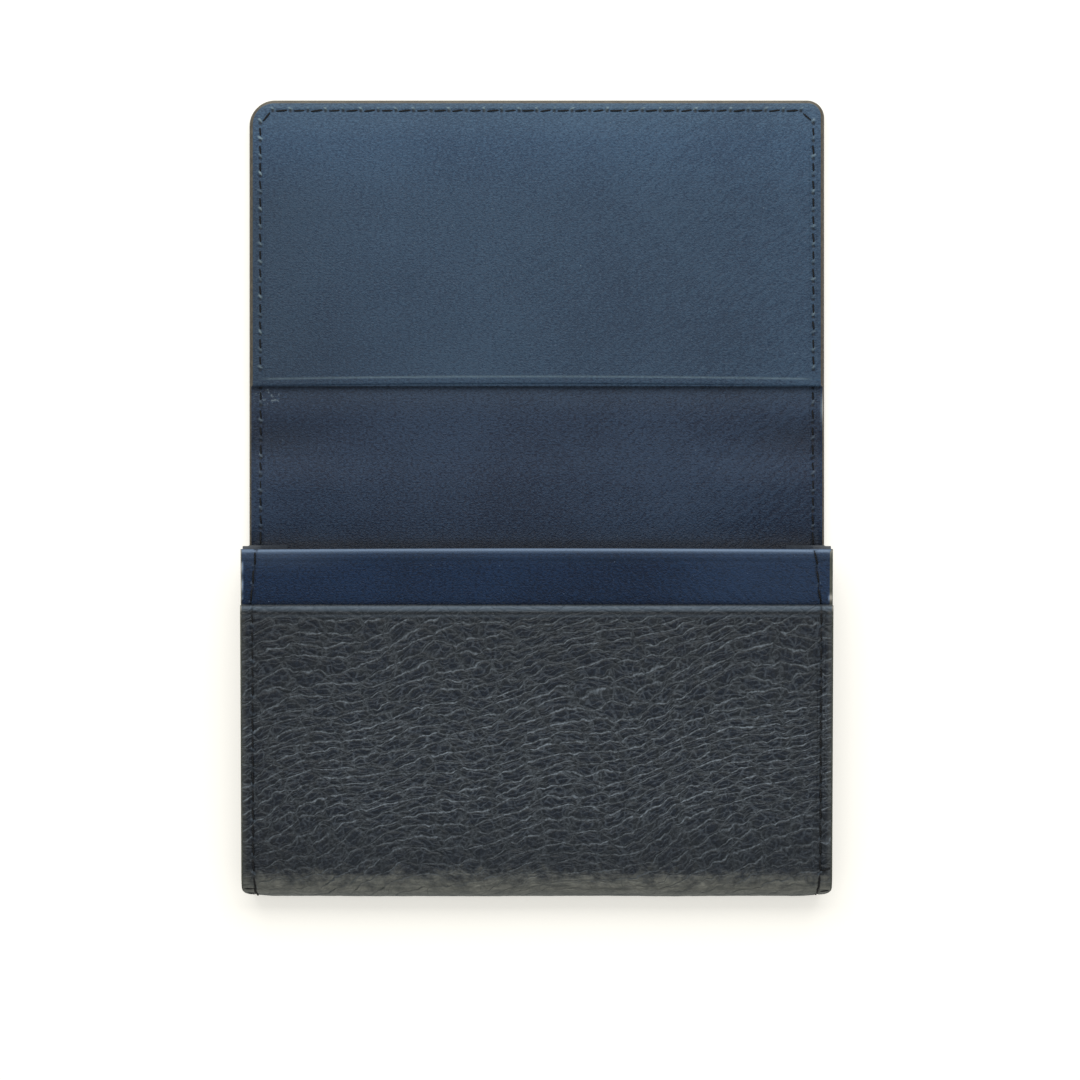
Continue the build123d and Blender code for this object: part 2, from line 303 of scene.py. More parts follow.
def shrunken_grain(tree, place):
    """Creases of shrunken calf: long wavy ones about 2 mm apart that rise slowly to the right, slanting ones
    that fall across them, and a net of short wrinkles between. Gives the distance to the nearest long crease,
    how far that crease runs across the lay (0 to 1), and the distances to the slanting ones and to the
    wrinkles."""
    drift = add(tree, "TexNoise", {"Vector": place, "Scale": 0.045, "Detail": 0.0}, **FLAT)
    drifted = add(
        tree, "VectorMath", {0: drift.outputs["Color"], 1: (6.0, 8.0, 0), 2: place}, operation="MULTIPLY_ADD"
    )
    kink = add(tree, "TexNoise", {"Vector": place, "Scale": 0.42, "Detail": 2.5, "Roughness": 0.5}, **FLAT)
    kinked = add(
        tree, "VectorMath", {0: kink.outputs["Color"], 1: (1.5, 1.0, 0), 2: drifted}, operation="MULTIPLY_ADD"
    )
    swell = add(tree, "TexNoise", {"Vector": place, "Scale": 0.26, "Detail": 0.0}, **FLAT)
    level = add(tree, "Math", {0: swell.outputs["Fac"], 1: 0.5}, operation="SUBTRACT")
    arch = add(tree, "Math", {0: level}, operation="ABSOLUTE")
    lift = add(tree, "CombineXYZ", {"Y": arch})
    scalloped = add(tree, "VectorMath", {0: lift, 1: (0, -1.5, 0), 2: kinked}, operation="MULTIPLY_ADD")
    spots = []
    for angle, length, width in ((-16, 6.2, 2.0), (26, 4.6, 3.0), (-13, 2.5, 0.8)):
        turned = add(
            tree, "VectorRotate", {"Vector": scalloped, "Angle": math.radians(angle)}, rotation_type="Z_AXIS"
        )
        drawn_out = add(tree, "VectorMath", {0: turned, 1: (1 / length, 1 / width, 0)}, operation="MULTIPLY")
        spots.append(drawn_out)
    beside = add(tree, "VectorMath", {0: spots[0], 1: (0.004, 0, 0)}, operation="ADD")
    main, slant, fine, aside = [
        add(tree, "TexVoronoi", {"Vector": spot, "Scale": 1.0, "Randomness": loose}, **CELL_EDGES)
        for spot, loose in zip(spots + [beside], (0.7, 1.0, 1.0, 0.7))
    ]
    change = add(tree, "Math", {0: aside, 1: main}, operation="SUBTRACT")
    steep = add(tree, "Math", {0: change}, operation="ABSOLUTE")
    across = add(tree, "Math", {0: steep, 1: 250.0}, operation="MULTIPLY", use_clamp=True)
    return main, across, slant, fine


def make_relief():
    """Sinks the creases of the grain into the leather, along the stored outward direction."""
    tree = bpy.data.node_groups.new("grain_relief", "GeometryNodeTree")
    tree.interface.new_socket("Geometry", in_out="INPUT", socket_type="NodeSocketGeometry")
    tree.interface.new_socket("Geometry", in_out="OUTPUT", socket_type="NodeSocketGeometry")
    start = add(tree, "NodeGroupInput")
    place = add(tree, "GeometryNodeInputNamedAttribute", {"Name": "lay"}, data_type="FLOAT_VECTOR")
    outward = add(tree, "GeometryNodeInputNamedAttribute", {"Name": "outward"}, data_type="FLOAT_VECTOR")
    main, across, slant, fine = shrunken_grain(tree, place)
    main_share = add(tree, "MapRange", {"Value": across, "To Min": 1.0, "To Max": 0.35})
    total = 0.0
    for distance, reach, share in ((main, 0.22, main_share), (slant, 0.16, 0.4), (fine, 0.3, 0.25)):
        crease = add(
            tree, "MapRange", {"Value": distance, "From Max": reach, "To Min": share, "To Max": 0.0}, **SOFT
        )
        total = add(tree, "Math", {0: crease, 1: total}, operation="ADD")
    depth = add(tree, "Math", {0: total, 1: -0.075 * MM}, operation="MULTIPLY")
    shift = add(tree, "VectorMath", {0: outward, 3: depth}, operation="SCALE")
    moved = add(tree, "GeometryNodeSetPosition", {"Geometry": start, "Offset": shift})
    add(tree, "NodeGroupOutput", {0: moved})
    return tree


grain_relief = make_relief()


# ------------------------------------------------------------------ outer leather, round the bottom fold
CURL = RADIUS * (math.pi + WEDGE)  # length of the leather round the bottom fold
FRONT_END = CURL + FRONT_HEIGHT


def strip_place(spots):
    """How far along the strip a point is, up from the start of the bottom fold, and how deep under its outer
    face."""
    y, z = spots[:, 1] - BOTTOM, spots[:, 2] - RADIUS
    angle = np.arctan2(-y, -z) % (2 * math.pi)
    up, out = y * COS + z * SIN, z * COS - y * SIN
    on_back = (y > 0) & (z < 0)
    on_front = (up > 0) & (z > 0)
    along = np.where(on_back, -y, np.where(on_front, CURL + up, RADIUS * angle))
    depth = np.where(on_back, z + RADIUS, np.where(on_front, RADIUS - out, RADIUS - np.hypot(y, z)))
    return along, depth


def along_strip(spots):
    return strip_place(spots)[0]


def outward_direction(spots):
    y, z = spots[:, 1] - BOTTOM, spots[:, 2] - RADIUS
    size = np.maximum(np.hypot(y, z), 1e-9)
    on_back = (y > 0) & (z < 0)
    on_front = (y * COS + z * SIN > 0) & (z > 0)
    across = np.zeros(len(spots))
    along = np.where(on_back, 0, np.where(on_front, -SIN, y / size))
    up = np.where(on_back, -1, np.where(on_front, COS, z / size))
    return np.stack([across, along, up], 1)


def outer_face(spots, below=SKIN):
    return strip_place(spots)[1] < below


def soften_sides(piece, half, is_rim, radius=0.25 * MM):
    """Rounds the long side edges, as they are once rubbed down and painted."""
    work(
        piece, "EDGE",
        lambda middle, run: (np.abs(middle[:, 0]) > half - NEAR) & (np.abs(run[:, 0]) < TINY)
        & is_rim(middle, np.linalg.norm(run, axis=1)),
        bpy.ops.mesh.bevel, offset=radius, segments=3,
    )


def paint_rim(piece, is_rim):
    """Marks the faces of the rim for the second material, the edge paint."""
    centres = read(piece.data.polygons, "center", 3)
    normals = read(piece.data.polygons, "normal", 3)
    piece.data.materials.append(None)
    piece.data.materials.append(None)
    piece.data.polygons.foreach_set("material_index", is_rim(centres, normals).astype(np.int32).ravel())


def beyond(half):
    """The rounded side faces of a piece of a given half width."""
    return lambda centres, normals: (np.abs(centres[:, 0]) > half - RIM) & (np.abs(normals[:, 0]) > 0.2)


def cut_seam_band(piece, seam):
    """Lines on both sides of each side seam, so that the leather can be worked more finely there."""
    slice_across(piece, "X", [side * seam + edge for side in (-1, 1) for edge in (-SEAM_BAND, SEAM_BAND)])


def spread_points(piece, seam, pitch, where):
    """Fine enough points to shape the face: finer still along the side seams."""
    in_band = lambda spots: np.abs(np.abs(spots[:, 0]) - seam) < IN_BAND
    for axis, fine_pitch in (("X", 0.2 * MM), ("Y", 0.26 * MM)):
        refine(piece, axis, fine_pitch, lambda spots: where(spots) & in_band(spots))
    refine(piece, "X", pitch, where)
    refine(piece, "Y", pitch, where)


def widen(piece, field, amount):
    """Stretches the width: points move outwards in proportion to their distance from the middle."""
    for side in (-1, 1):
        push(piece, lambda spots: field(spots) * np.clip(side * spots[:, 0] / HALF, 0, 1), "X", side * amount)


def hole_distance(flat, holes):
    """Distance from each point of a flat layout to the nearest needle hole."""
    nearest = np.full(len(flat), 1.0)
    for hole in holes:
        nearest = np.minimum(nearest, np.hypot(flat[:, 0] - hole[0], flat[:, 1] - hole[1]))
    return nearest


def seat_seam(piece, layout, holes, on_line, direction, sign):
    """Presses the stitch line into the face, with a dimple at each needle hole and a slight rise round it."""
    push(piece, lambda spots: on_line(layout(spots)) / 1.6, direction, -0.16 * MM * sign)
    near = lambda spots: hole_distance(layout(spots), holes)
    push(piece, lambda spots: ramp(0.5 * MM - near(spots), 0, 0.4 * MM), direction, -0.16 * MM * sign)
    push(piece, lambda spots: bump_at(near(spots), 0.75 * MM, 0.3 * MM), direction, 0.035 * MM * sign)


def carry_round(piece, steps):
    """Carries a layer of the back round the bottom fold, up to the lean of the front wall."""
    work(
        piece, "FACE", lambda spots, normals: normals[:, 1] < -0.9,
        bpy.ops.mesh.spin, steps=steps, angle=math.pi + WEDGE, center=(0, BOTTOM, RADIUS), axis=(1, 0, 0),
    )


def turn_hem(piece, raised, lift, at_edge, radius, segments):
    """Lifts the leather that is turned over along an edge, and rounds the edge."""
    work(piece, "VERT", raised, bpy.ops.transform.translate, value=lift)
    work(
        piece, "EDGE", lambda middle, run: (np.abs(run[:, 0]) > HALF) & at_edge(middle),
        bpy.ops.mesh.bevel, offset=radius, segments=segments,
    )


pocket_leather = slab("pocket_leather", (-HALF, BOTTOM, 0), (HALF, BACK_SPLIT, OUTER))
carry_round(pocket_leather, 26)


def top_end(spots, normals):
    along = along_strip(spots)
    return (along > along.max() - NEAR) & (normals[:, 1] > 0.9)


for length in (FRONT_HEIGHT - HEM - 0.3 * MM, 0.3 * MM, HEM):
    work(
        pocket_leather, "FACE", top_end, bpy.ops.mesh.extrude_region_move,
        TRANSFORM_OT_translate={"value": (0, length * COS, length * SIN)},
    )
turn_hem(
    pocket_leather, lambda spots: outer_face(spots) & (along_strip(spots) > FRONT_END - HEM - NEAR),
    (0, -SIN * HEM_RISE, COS * HEM_RISE),
    lambda middle: along_strip(middle) > FRONT_END - NEAR, 0.55 * MM, 6,
)


def strip_rim(middle, length):
    along, depth = strip_place(middle)
    flat_rim = (depth < SKIN) | (np.abs(depth - OUTER) < SKIN)
    return flat_rim | ((along > FRONT_END - 0.56 * MM) & (length < 0.4 * MM))


soften_sides(pocket_leather, HALF, strip_rim, 0.3 * MM)
paint_rim(pocket_leather, beyond(HALF))
cut_seam_band(pocket_leather, SEAM)
spread_points(pocket_leather, SEAM, 0.42 * MM, outer_face)
widen(pocket_leather, lambda spots: ramp(along_strip(spots), 0.4 * CURL, 0.75 * CURL), FRONT_HALF - HALF)
NARROWING = 0.6 * MM  # the strip draws in where it turns
widen(pocket_leather, lambda spots: bump_at(along_strip(spots), 0.5 * CURL, 0.2 * CURL), -NARROWING)
push(
    pocket_leather,
    lambda spots: bump_at(along_strip(spots), 0.55 * CURL, 0.4 * CURL)
    * (0.2 + 0.8 * ramp(inside(spots, HALF), 0.5 * MM, 5 * MM)),
    "Y", -0.42 * MM,
)


def half_at(along):
    """Half the width of the strip at a place along it."""
    return (
        HALF + (FRONT_HALF - HALF) * ramp(along, 0.4 * CURL, 0.75 * CURL)
        - NARROWING * bump_at(along, 0.5 * CURL, 0.2 * CURL)
    )


def front_seam_x(along):
    """The front seam keeps its distance from the side, and drifts in a little towards the bottom."""
    return FRONT_HALF - 2.25 * MM - 0.45 * MM * (1 - ramp(along, 0.5 * CURL, CURL + 2 * MM))


def strip_layout(spots):
    """Across the strip, and along it from the bottom fold."""
    return np.stack([spots[:, 0], along_strip(spots)], 1)


TOP_SEAM = FREE_EDGE - 2.2 * MM
TOP_LINES = [TOP_SEAM - SEAM_BAND, TOP_SEAM + SEAM_BAND, FREE_EDGE - LEFT_CORNER]
TURN = PITCH / math.sqrt(2)  # one stitch runs slantwise across each free corner
SIDE_HOLES = [TOP_SEAM - TURN - step * PITCH for step in range(60)]
SIDE_HOLES = [hole for hole in SIDE_HOLES if hole > BOTTOM + 0.5 * MM]
FRONT_HOLES = [FRONT_HEIGHT - 0.7 * MM - step * PITCH for step in range(18)]  # the last go round the bottom


def side_holes(low=-1, high=1):
    """Needle holes of both side seams on the flat layout, between two places along the holder."""
    return [(side * SEAM, BOTTOM - hole) for side in (-1, 1) for hole in SIDE_HOLES if low < hole < high]


back_holes = side_holes(high=BACK_SPLIT)
front_holes = [(side * front_seam_x(CURL + hole), CURL + hole) for side in (-1, 1) for hole in FRONT_HOLES]


def store_wear_and_painted_light(piece, paler=None, darker=None, scuffed=None):
    """Stores three fields on a piece, each from 0 to 1: paler, which is real wear where the leather is rubbed
    and painted highlights over edges and where the light would catch it; darker, which is painted shade in
    grooves, folds, hollows and where less light falls; and scuffed, where the leather is speckled with
    scuffs."""
    spots = read(piece.data.vertices, "co", 3)
    # the first field holds real wear and painted highlights, the second painted shade, the third scuffs
    for name, field in (("rubbed", paler), ("grooved", darker), ("scuffed", scuffed)):
        note(piece, name, np.clip(field(spots), 0, 1) if field else np.zeros(len(spots)))


def needle_glints(flat, holes, slope, ahead, most):
    """The lip of leather raised beside each needle hole catches the light in a short slanting streak, at some
    more than others. The slope leans the other way on the right."""
    marked = np.zeros(len(flat))
    for number, (across, along) in enumerate(holes):
        lean = (slope + 0.3 * math.sin(number * 1.9)) * (1 if across > 0 else -1)
        run, rise = flat[:, 0] - across, flat[:, 1] - along + ahead
        forward = run * math.cos(lean) + rise * math.sin(lean)
        sideways = rise * math.cos(lean) - run * math.sin(lean)
        away = np.hypot(np.maximum(np.abs(forward) - 0.3 * MM, 0), sideways)
        strength = most * (0.65 + 0.35 * math.sin(number * 2.7)) * (0.65 if across > 50 * MM else 1)
        marked = np.maximum(marked, strength * ramp(0.27 * MM - away, 0, 0.2 * MM))
    return marked


def needle_shadows(flat, holes):
    """Each needle hole is a dark spot at the end of its stitch."""
    return 0.85 * ramp(0.5 * MM - hole_distance(flat, holes), 0.05 * MM, 0.3 * MM)


RISING = math.radians(-50)  # outwards and up, where the flat layout runs downwards


def lay_out(piece, layout):
    """Stores the flat layout of a piece, in millimetres, for its patterns to follow."""
    spots = read(piece.data.vertices, "co", 3)
    flat = layout(spots) / MM
    note(piece, "lay", np.column_stack([flat, np.zeros(len(flat))]))


def pebble(piece, layout, direction):
    """Gives the outer face its grain as real relief."""
    spots = read(piece.data.vertices, "co", 3)
    lay_out(piece, layout)
    note(piece, "outward", direction(spots))
    modifier = piece.modifiers.new("grain", "NODES")
    modifier.node_group = grain_relief
    apply_all(piece)


def on_outer_seam(flat):
    along = flat[:, 1]
    round_bottom = ramp(along, 0.3 * CURL, 0.5 * CURL)
    line = bump_at(np.abs(flat[:, 0]), front_seam_x(along), 0.5 * MM)
    front = line * round_bottom * (along < FRONT_END - HEM)
    back = bump_at(np.abs(flat[:, 0]), SEAM, LINE) * ramp(-along, -1 * MM, 0)
    return np.maximum(1.6 * front, back)


def grained(spots):
    """Only the outer face takes the grain, and it fades out over the hem and the painted edges."""
    along, depth = strip_place(spots)
    return outward_direction(spots) * (
        (depth < 0.5 * MM) * (1 - 0.5 * bump_at(along, 0.5 * CURL, 0.55 * CURL))
        * (1 - 0.85 * ramp(along, FRONT_END - HEM - 1.2 * MM, FRONT_END - HEM + 0.3 * MM))
        * (0.35 + 0.65 * ramp(inside(spots, HALF), 0.2 * MM, 2.5 * MM))
    )[:, None]


seat_seam(pocket_leather, strip_layout, back_holes + front_holes, on_outer_seam, "NORMAL", 1)
ruffle(
    pocket_leather,
    lambda spots: outer_face(spots) * ramp(along_strip(spots), 0, CURL)
    * ramp(inside(spots, FRONT_HALF), 0, 6 * MM),
    16 * MM, 0.35 * MM,
)


def front_painted_highlights(spots):
    """Painted highlights along the turned edge, under its hem, round the bottom and beside the needle holes.
    """
    along, face = along_strip(spots), outer_face(spots, 0.5 * MM)
    edge = 0.8 * bump_at(along, FRONT_END - 0.3 * MM, 0.6 * MM)
    under_hem = 0.2 * bump_at(along, FRONT_END - HEM - 0.2 * MM, 0.34 * MM)
    bottom = 0.16 * face * bump_at(along, 0.56 * CURL, 0.2 * CURL)
    glints = face * needle_glints(strip_layout(spots), front_holes, -RISING, -0.5 * MM, 0.75)
    return edge + under_hem + bottom + glints


def front_shade(spots):
    """Painted shade: dark in the valley of the seam, and a little darker towards the left side and the
    bottom.
    """
    along = along_strip(spots)
    round_bottom = ramp(along, 0.3 * CURL, 0.5 * CURL)
    valley = 0.72 * bump_at(np.abs(spots[:, 0]), front_seam_x(along), 0.4 * MM) * round_bottom
    wall = ramp(along, CURL - 3 * MM, CURL)
    low = wall * ramp(CURL + 10 * MM - along, 0, 9 * MM)
    sides = 0.21 * ramp(-spots[:, 0], 30 * MM, 52 * MM) + 0.06 * ramp(spots[:, 0], 40 * MM, 54 * MM)
    sides += 0.06 * ramp(along, FRONT_END - 16 * MM, FRONT_END - 4 * MM) * (along < FRONT_END - HEM)
    return outer_face(spots, 0.5 * MM) * np.maximum(valley, 0.06 * low + sides * wall)


store_wear_and_painted_light(pocket_leather, front_painted_highlights, front_shade)
pebble(pocket_leather, strip_layout, grained)

# ------------------------------------------------------------------ outer leather of the back, spine and flap
def flat_layout(spots):
    return np.stack([spots[:, 0], BOTTOM - spots[:, 1]], 1)


def underside(spots):
    return spots[:, 2] < 0.05 * MM


def flat_grain(spots):
    edge = np.minimum(inside(spots, HALF), FREE_EDGE - spots[:, 1])
    strength = (spots[:, 2] < 0.12 * MM) * (0.35 + 0.65 * ramp(edge, 0.2 * MM, 2.5 * MM))
    return np.outer(strength, (0, 0, -1))


def soften_rim(piece, low, high, is_split, radius=0.25 * MM):
    """Rounds every edge between the faces and the sides of a flat layer, but not where the strip is cut."""
    work(
        piece, "EDGE",
        lambda middle, run: (np.abs(run[:, 2]) < TINY) & ~is_split(middle)
        & ((np.abs(middle[:, 2] - low) < TOUCH) | (np.abs(middle[:, 2] - high) < TOUCH)),
        bpy.ops.mesh.bevel, offset=radius, segments=3,
    )


def round_free_corners(piece, inset=0.0):
    for side, radius in ((-1, LEFT_CORNER), (1, RIGHT_CORNER)):
        work(
            piece, "EDGE",
            lambda middle, run: (np.abs(run[:, 2]) > 0.3 * MM) & (middle[:, 1] > FREE_EDGE - inset - NEAR)
            & (middle[:, 0] * side > HALF - inset - NEAR),
            bpy.ops.mesh.bevel, offset=radius - inset, segments=14,
        )


def outline_rim(inset, width=RIM):
    """The rounded faces all round a flat layer, the free corners too."""
    def test(centres, normals):
        outside = np.maximum(np.abs(centres[:, 0]) - HALF, centres[:, 1] - FREE_EDGE) > -inset - width
        for side, radius in ((-1, LEFT_CORNER), (1, RIGHT_CORNER)):
            middle_x, middle_y = HALF - radius, FREE_EDGE - radius
            from_middle = np.hypot(centres[:, 0] * side - middle_x, centres[:, 1] - middle_y)
            in_corner = (centres[:, 0] * side > middle_x) & (centres[:, 1] > middle_y)
            outside |= in_corner & (from_middle > radius - inset - width)
        return outside & (np.hypot(normals[:, 0], normals[:, 1]) > 0.2)
    return test


def fold_lines(piece):
    """Cuts a layer right round, close together where it bends over a crease, so that all its faces turn."""
    along = read(piece.data.vertices, "co", 3)[:, 1]
    slice_across(piece, "Y", [
        crease + step * 0.4 * MM for crease in (BACK_CREASE, FLAP_CREASE) for step in range(-8, 9)
        if along.min() + 0.1 * MM < crease + step * 0.4 * MM < along.max() - 0.1 * MM
    ])


def outer_layer(name, start, end, is_split):
    piece = slab(name, (-HALF, start, 0), (HALF, end, OUTER))
    if end == FREE_EDGE:
        round_free_corners(piece)
    soften_rim(piece, 0, OUTER, is_split, 0.3 * MM)
    is_rim = outline_rim(0)
    if end < FREE_EDGE:
        paint_rim(piece, lambda centres, normals: is_rim(centres, normals) & (np.abs(normals[:, 1]) < 0.99))
    else:
        paint_rim(piece, lambda centres, normals: is_rim(centres, normals) & (normals[:, 1] > -0.9))
    cut_seam_band(piece, SEAM)
    fold_lines(piece)
    if end == FREE_EDGE:
        slice_across(piece, "Y", TOP_LINES)
    spread_points(piece, SEAM, 0.45 * MM, underside)
    return piece


side_hole_spots = side_holes()
TOP_HOLES = np.linspace(TURN - SEAM, SEAM - TURN, 31).tolist()
top_hole_spots = [(hole, BOTTOM - TOP_SEAM) for hole in TOP_HOLES]


def on_flat_seam(flat):
    """The stitch line of the flap and back: both sides, the corners and the top."""
    across, up = np.abs(flat[:, 0]), BOTTOM - flat[:, 1]
    sides = bump_at(across, SEAM, LINE) * (up < TOP_SEAM - TURN)
    top = bump_at(up, TOP_SEAM, LINE) * (across < SEAM - TURN)
    corner = bump_at((across + up) / math.sqrt(2), (SEAM + TOP_SEAM - TURN) / math.sqrt(2), LINE)
    return np.maximum(np.maximum(sides, top), corner * (across >= SEAM - TURN) * (up >= TOP_SEAM - TURN))


spine_leather = outer_layer(
    "spine_leather", BACK_SPLIT, SPINE_MIDDLE,
    lambda middle: (middle[:, 1] < BACK_SPLIT + TOUCH) | (middle[:, 1] > SPINE_MIDDLE - TOUCH),
)
flap_leather = outer_layer(
    "flap_leather", SPINE_MIDDLE, FREE_EDGE, lambda middle: middle[:, 1] < SPINE_MIDDLE + TOUCH
)
for piece in (spine_leather, flap_leather):
    store_wear_and_painted_light(piece)
    seat_seam(piece, flat_layout, side_hole_spots + top_hole_spots, on_flat_seam, "Z", -1)
    pebble(piece, flat_layout, flat_grain)

# ------------------------------------------------------------------ lining
def lining_rim(middle, length):
    depth = strip_place(middle)[1]
    return (np.abs(depth - OUTER) < SKIN) | (np.abs(depth - LINING_TOP) < SKIN)


SEEN_START, SEEN_END = BACK_CREASE - 9 * MM, POCKET_EDGE + 4 * MM  # the lining is covered beyond these


def seen_lining(spots):
    on_face = np.abs(spots[:, 2] - LINING_TOP) < SKIN
    return on_face & (spots[:, 1] > SEEN_START - NEAR) & (spots[:, 1] < SEEN_END + NEAR)


LINING_INSET, PANEL_INSET = 0.2 * MM, 0.38 * MM  # the layers step in a little, under one coat of paint
LINING_HALF, PANEL_HALF = HALF - LINING_INSET, HALF - PANEL_INSET
pocket_lining = slab("pocket_lining", (-LINING_HALF, BOTTOM, OUTER), (LINING_HALF, SPINE_MIDDLE, LINING_TOP))
slice_across(pocket_lining, "Y", [SEEN_START])
carry_round(pocket_lining, 16)
soften_sides(pocket_lining, LINING_HALF, lining_rim, 0.25 * MM)
paint_rim(pocket_lining, beyond(LINING_HALF))
flap_lining = slab(
    "flap_lining_leather", (-LINING_HALF, SPINE_MIDDLE, OUTER),
    (LINING_HALF, FREE_EDGE - LINING_INSET, LINING_TOP),
)
round_free_corners(flap_lining, LINING_INSET)
soften_rim(flap_lining, OUTER, LINING_TOP, lambda middle: middle[:, 1] < SPINE_MIDDLE + TOUCH, 0.25 * MM)
paint_rim(
    flap_lining, lambda centres, normals: outline_rim(LINING_INSET)(centres, normals) & (normals[:, 1] > -0.9)
)
slice_across(flap_lining, "Y", [SEEN_END])


def lining_slack(spots):
    """Where the lining may move: the seen stretch, not its painted edges."""
    face = np.abs(spots[:, 2] - LINING_TOP) < 0.6 * MM
    low, high = ramp(spots[:, 1], SEEN_START, SEEN_START + 3 * MM), ramp(SEEN_END - spots[:, 1], 0, 3 * MM)
    return face * low * high * ramp(inside(spots, HALF), 0.4 * MM, 1.4 * MM)


def scuffed_end(spots):
    """A patch speckled with scuffs by the left end of the flap pocket."""
    across, up = spots[:, 0] + HALF - 3.4 * MM, spots[:, 1] - POCKET_EDGE + 3.0 * MM
    return 1 - ramp(np.hypot(across / (3.6 * MM), up / (2.1 * MM)), 0.4, 1.1)


def lining_shade(spots):
    """Painted shade darkens the lining in its folds by the side seams and in the throat of the pocket."""
    side = ramp(np.abs(spots[:, 0]), 36 * MM, 50 * MM)
    return (
        0.34 * bump_at(spots[:, 1], FLAP_CREASE + 3.2 * MM, 5.5 * MM) * side
        + np.maximum(
            bump_at(spots[:, 1], BACK_CREASE - 2.6 * MM, 4.4 * MM) * (0.24 + 0.24 * side),
            (0.62 + 0.1 * side) * ramp(BOTTOM + DIVIDER_HEIGHT + 2.8 * MM - spots[:, 1], 0, 2.6 * MM),
        )
    )


def lining_edge_wear_and_painted_light(spots):
    """The coat of the edge paint is rubbed through on the right, just under the flap pocket; and painted
    light brightens the lining just under the pocket's edge, where that edge shades it.
    """
    edge = spots[:, 0] > LINING_HALF - 0.3 * MM
    face = inside(spots, LINING_HALF) > 0.3 * MM
    lit = 0.07 * face * ramp(spots[:, 1], POCKET_EDGE - 8 * MM, POCKET_EDGE)
    return 0.8 * edge * bump_at(spots[:, 1], POCKET_EDGE - 5.2 * MM, 4 * MM) + lit


def lining_fold(spots, middle, width, reach, everywhere):
    """A soft fold right across, deeper towards both side seams."""
    near = ramp(np.abs(spots[:, 0]), HALF - reach, HALF - 7 * MM)
    return lining_slack(spots) * bump_at(spots[:, 1], middle, width) * (everywhere + (1 - everywhere) * near)


# real wear of the edge paint, painted light under the flap pocket and painted glints by the needle holes
def lining_wear_and_painted_light(spots):
    return lining_edge_wear_and_painted_light(spots) + needle_glints(flat_layout(spots), side_hole_spots, RISING, 0.55 * MM, 0.7)


# painted shade in the folds, the throat and the needle holes
def lining_painted_shade(spots):
    return np.maximum(lining_shade(spots), needle_shadows(flat_layout(spots), side_hole_spots))


LINING_FOLDS = (
    (FLAP_CREASE + 2.4 * MM, 6.0 * MM, 24 * MM, 0.2, -0.5 * MM),
    (SPINE_MIDDLE + 1.6 * MM, 5.5 * MM, 30 * MM, 0.3, 0.5 * MM),
    (BACK_CREASE - 1.0 * MM, 5.6 * MM, 32 * MM, 0.4, -0.6 * MM),
)
for piece in (pocket_lining, flap_lining):
    cut_seam_band(piece, SEAM)
    fold_lines(piece)
    spread_points(piece, SEAM, 0.45 * MM, seen_lining)
    for middle, width, reach, everywhere, depth in LINING_FOLDS:
        push(piece, lambda spots: lining_fold(spots, middle, width, reach, everywhere), "Z", depth)
    ruffle(piece, lining_slack, 9 * MM, 0.2 * MM, "Z")
    seat_seam(piece, flat_layout, side_hole_spots, on_flat_seam, "Z", 1)
    lay_out(piece, flat_layout)
    store_wear_and_painted_light(piece, lining_wear_and_painted_light, lining_painted_shade, scuffed_end)

# ------------------------------------------------------------------ flap pocket
PANEL_HEM = 1.15 * MM
PANEL_RIM = 0.42 * MM  # as rounded as its 0.8 mm allows
PANEL_FOOT = 2.55 * MM
POCKET_EDGE -= PANEL_HEM  # the hem hangs over the edge that the CAD model has
flap_panel = slab(
    "flap_pocket_leather", (-PANEL_HALF, POCKET_EDGE, PANEL_FOOT),
    (PANEL_HALF, FREE_EDGE - PANEL_INSET, PANEL_TOP),
)
round_free_corners(flap_panel, PANEL_INSET)
soften_rim(flap_panel, PANEL_FOOT, PANEL_TOP, lambda middle: middle[:, 1] < POCKET_EDGE + TOUCH, PANEL_RIM)
panel_outline = outline_rim(PANEL_INSET, PANEL_RIM + NEAR)
paint_rim(flap_panel, lambda centres, normals: panel_outline(centres, normals) & (normals[:, 1] > -0.9))
hem_steps = (-0.3, -0.15, 0, 0.2, 0.35, 0.55)
slice_across(flap_panel, "Y", [POCKET_EDGE + PANEL_HEM + step * MM for step in hem_steps])


def panel_face(spots):
    return spots[:, 2] > PANEL_TOP - 0.05 * MM


turn_hem(
    flap_panel, lambda spots: panel_face(spots) & (spots[:, 1] < POCKET_EDGE + PANEL_HEM + NEAR),
    (0, 0, HEM_RISE), lambda middle: middle[:, 1] < POCKET_EDGE + NEAR, 0.45 * MM, 6,
)
cut_seam_band(flap_panel, SEAM)
slice_across(flap_panel, "Y", TOP_LINES)
spread_points(flap_panel, SEAM, 0.45 * MM, panel_face)
for axis, pitch in (("Y", 0.2 * MM), ("X", 0.24 * MM)):
    refine(
        flap_panel, axis, pitch,
        lambda spots: panel_face(spots) & (np.abs(spots[:, 1] - TOP_SEAM) < IN_BAND),
    )
push(
    flap_panel,
    lambda spots: (spots[:, 2] < 2.6 * MM) * (ramp(np.abs(spots[:, 0]), SEAM - 1 * MM, SEAM + 0.8 * MM)
    + ramp(spots[:, 1], TOP_SEAM - 1 * MM, TOP_SEAM)),
    "Z", -0.25 * MM,
)
push(
    flap_panel,
    lambda spots: ramp(-spots[:, 1], -POCKET_EDGE - 14 * MM, -POCKET_EDGE) * (1 - (spots[:, 0] / HALF) ** 2),
    "Y", 0.5 * MM,
)


def panel_slack(spots):
    edge = np.minimum(inside(spots, HALF), FREE_EDGE - spots[:, 1])
    return panel_face(spots) * ramp(edge, 2.5 * MM, 8 * MM)


ruffle(flap_panel, panel_slack, 20 * MM, 0.3 * MM, "Z")
panel_holes = side_holes(low=POCKET_EDGE + 1 * MM)
seat_seam(
    flap_panel, flat_layout, panel_holes + top_hole_spots,
    lambda flat: on_flat_seam(flat) * (BOTTOM - flat[:, 1] > POCKET_EDGE + PANEL_HEM), "NORMAL", 1,
)
lay_out(flap_panel, flat_layout)


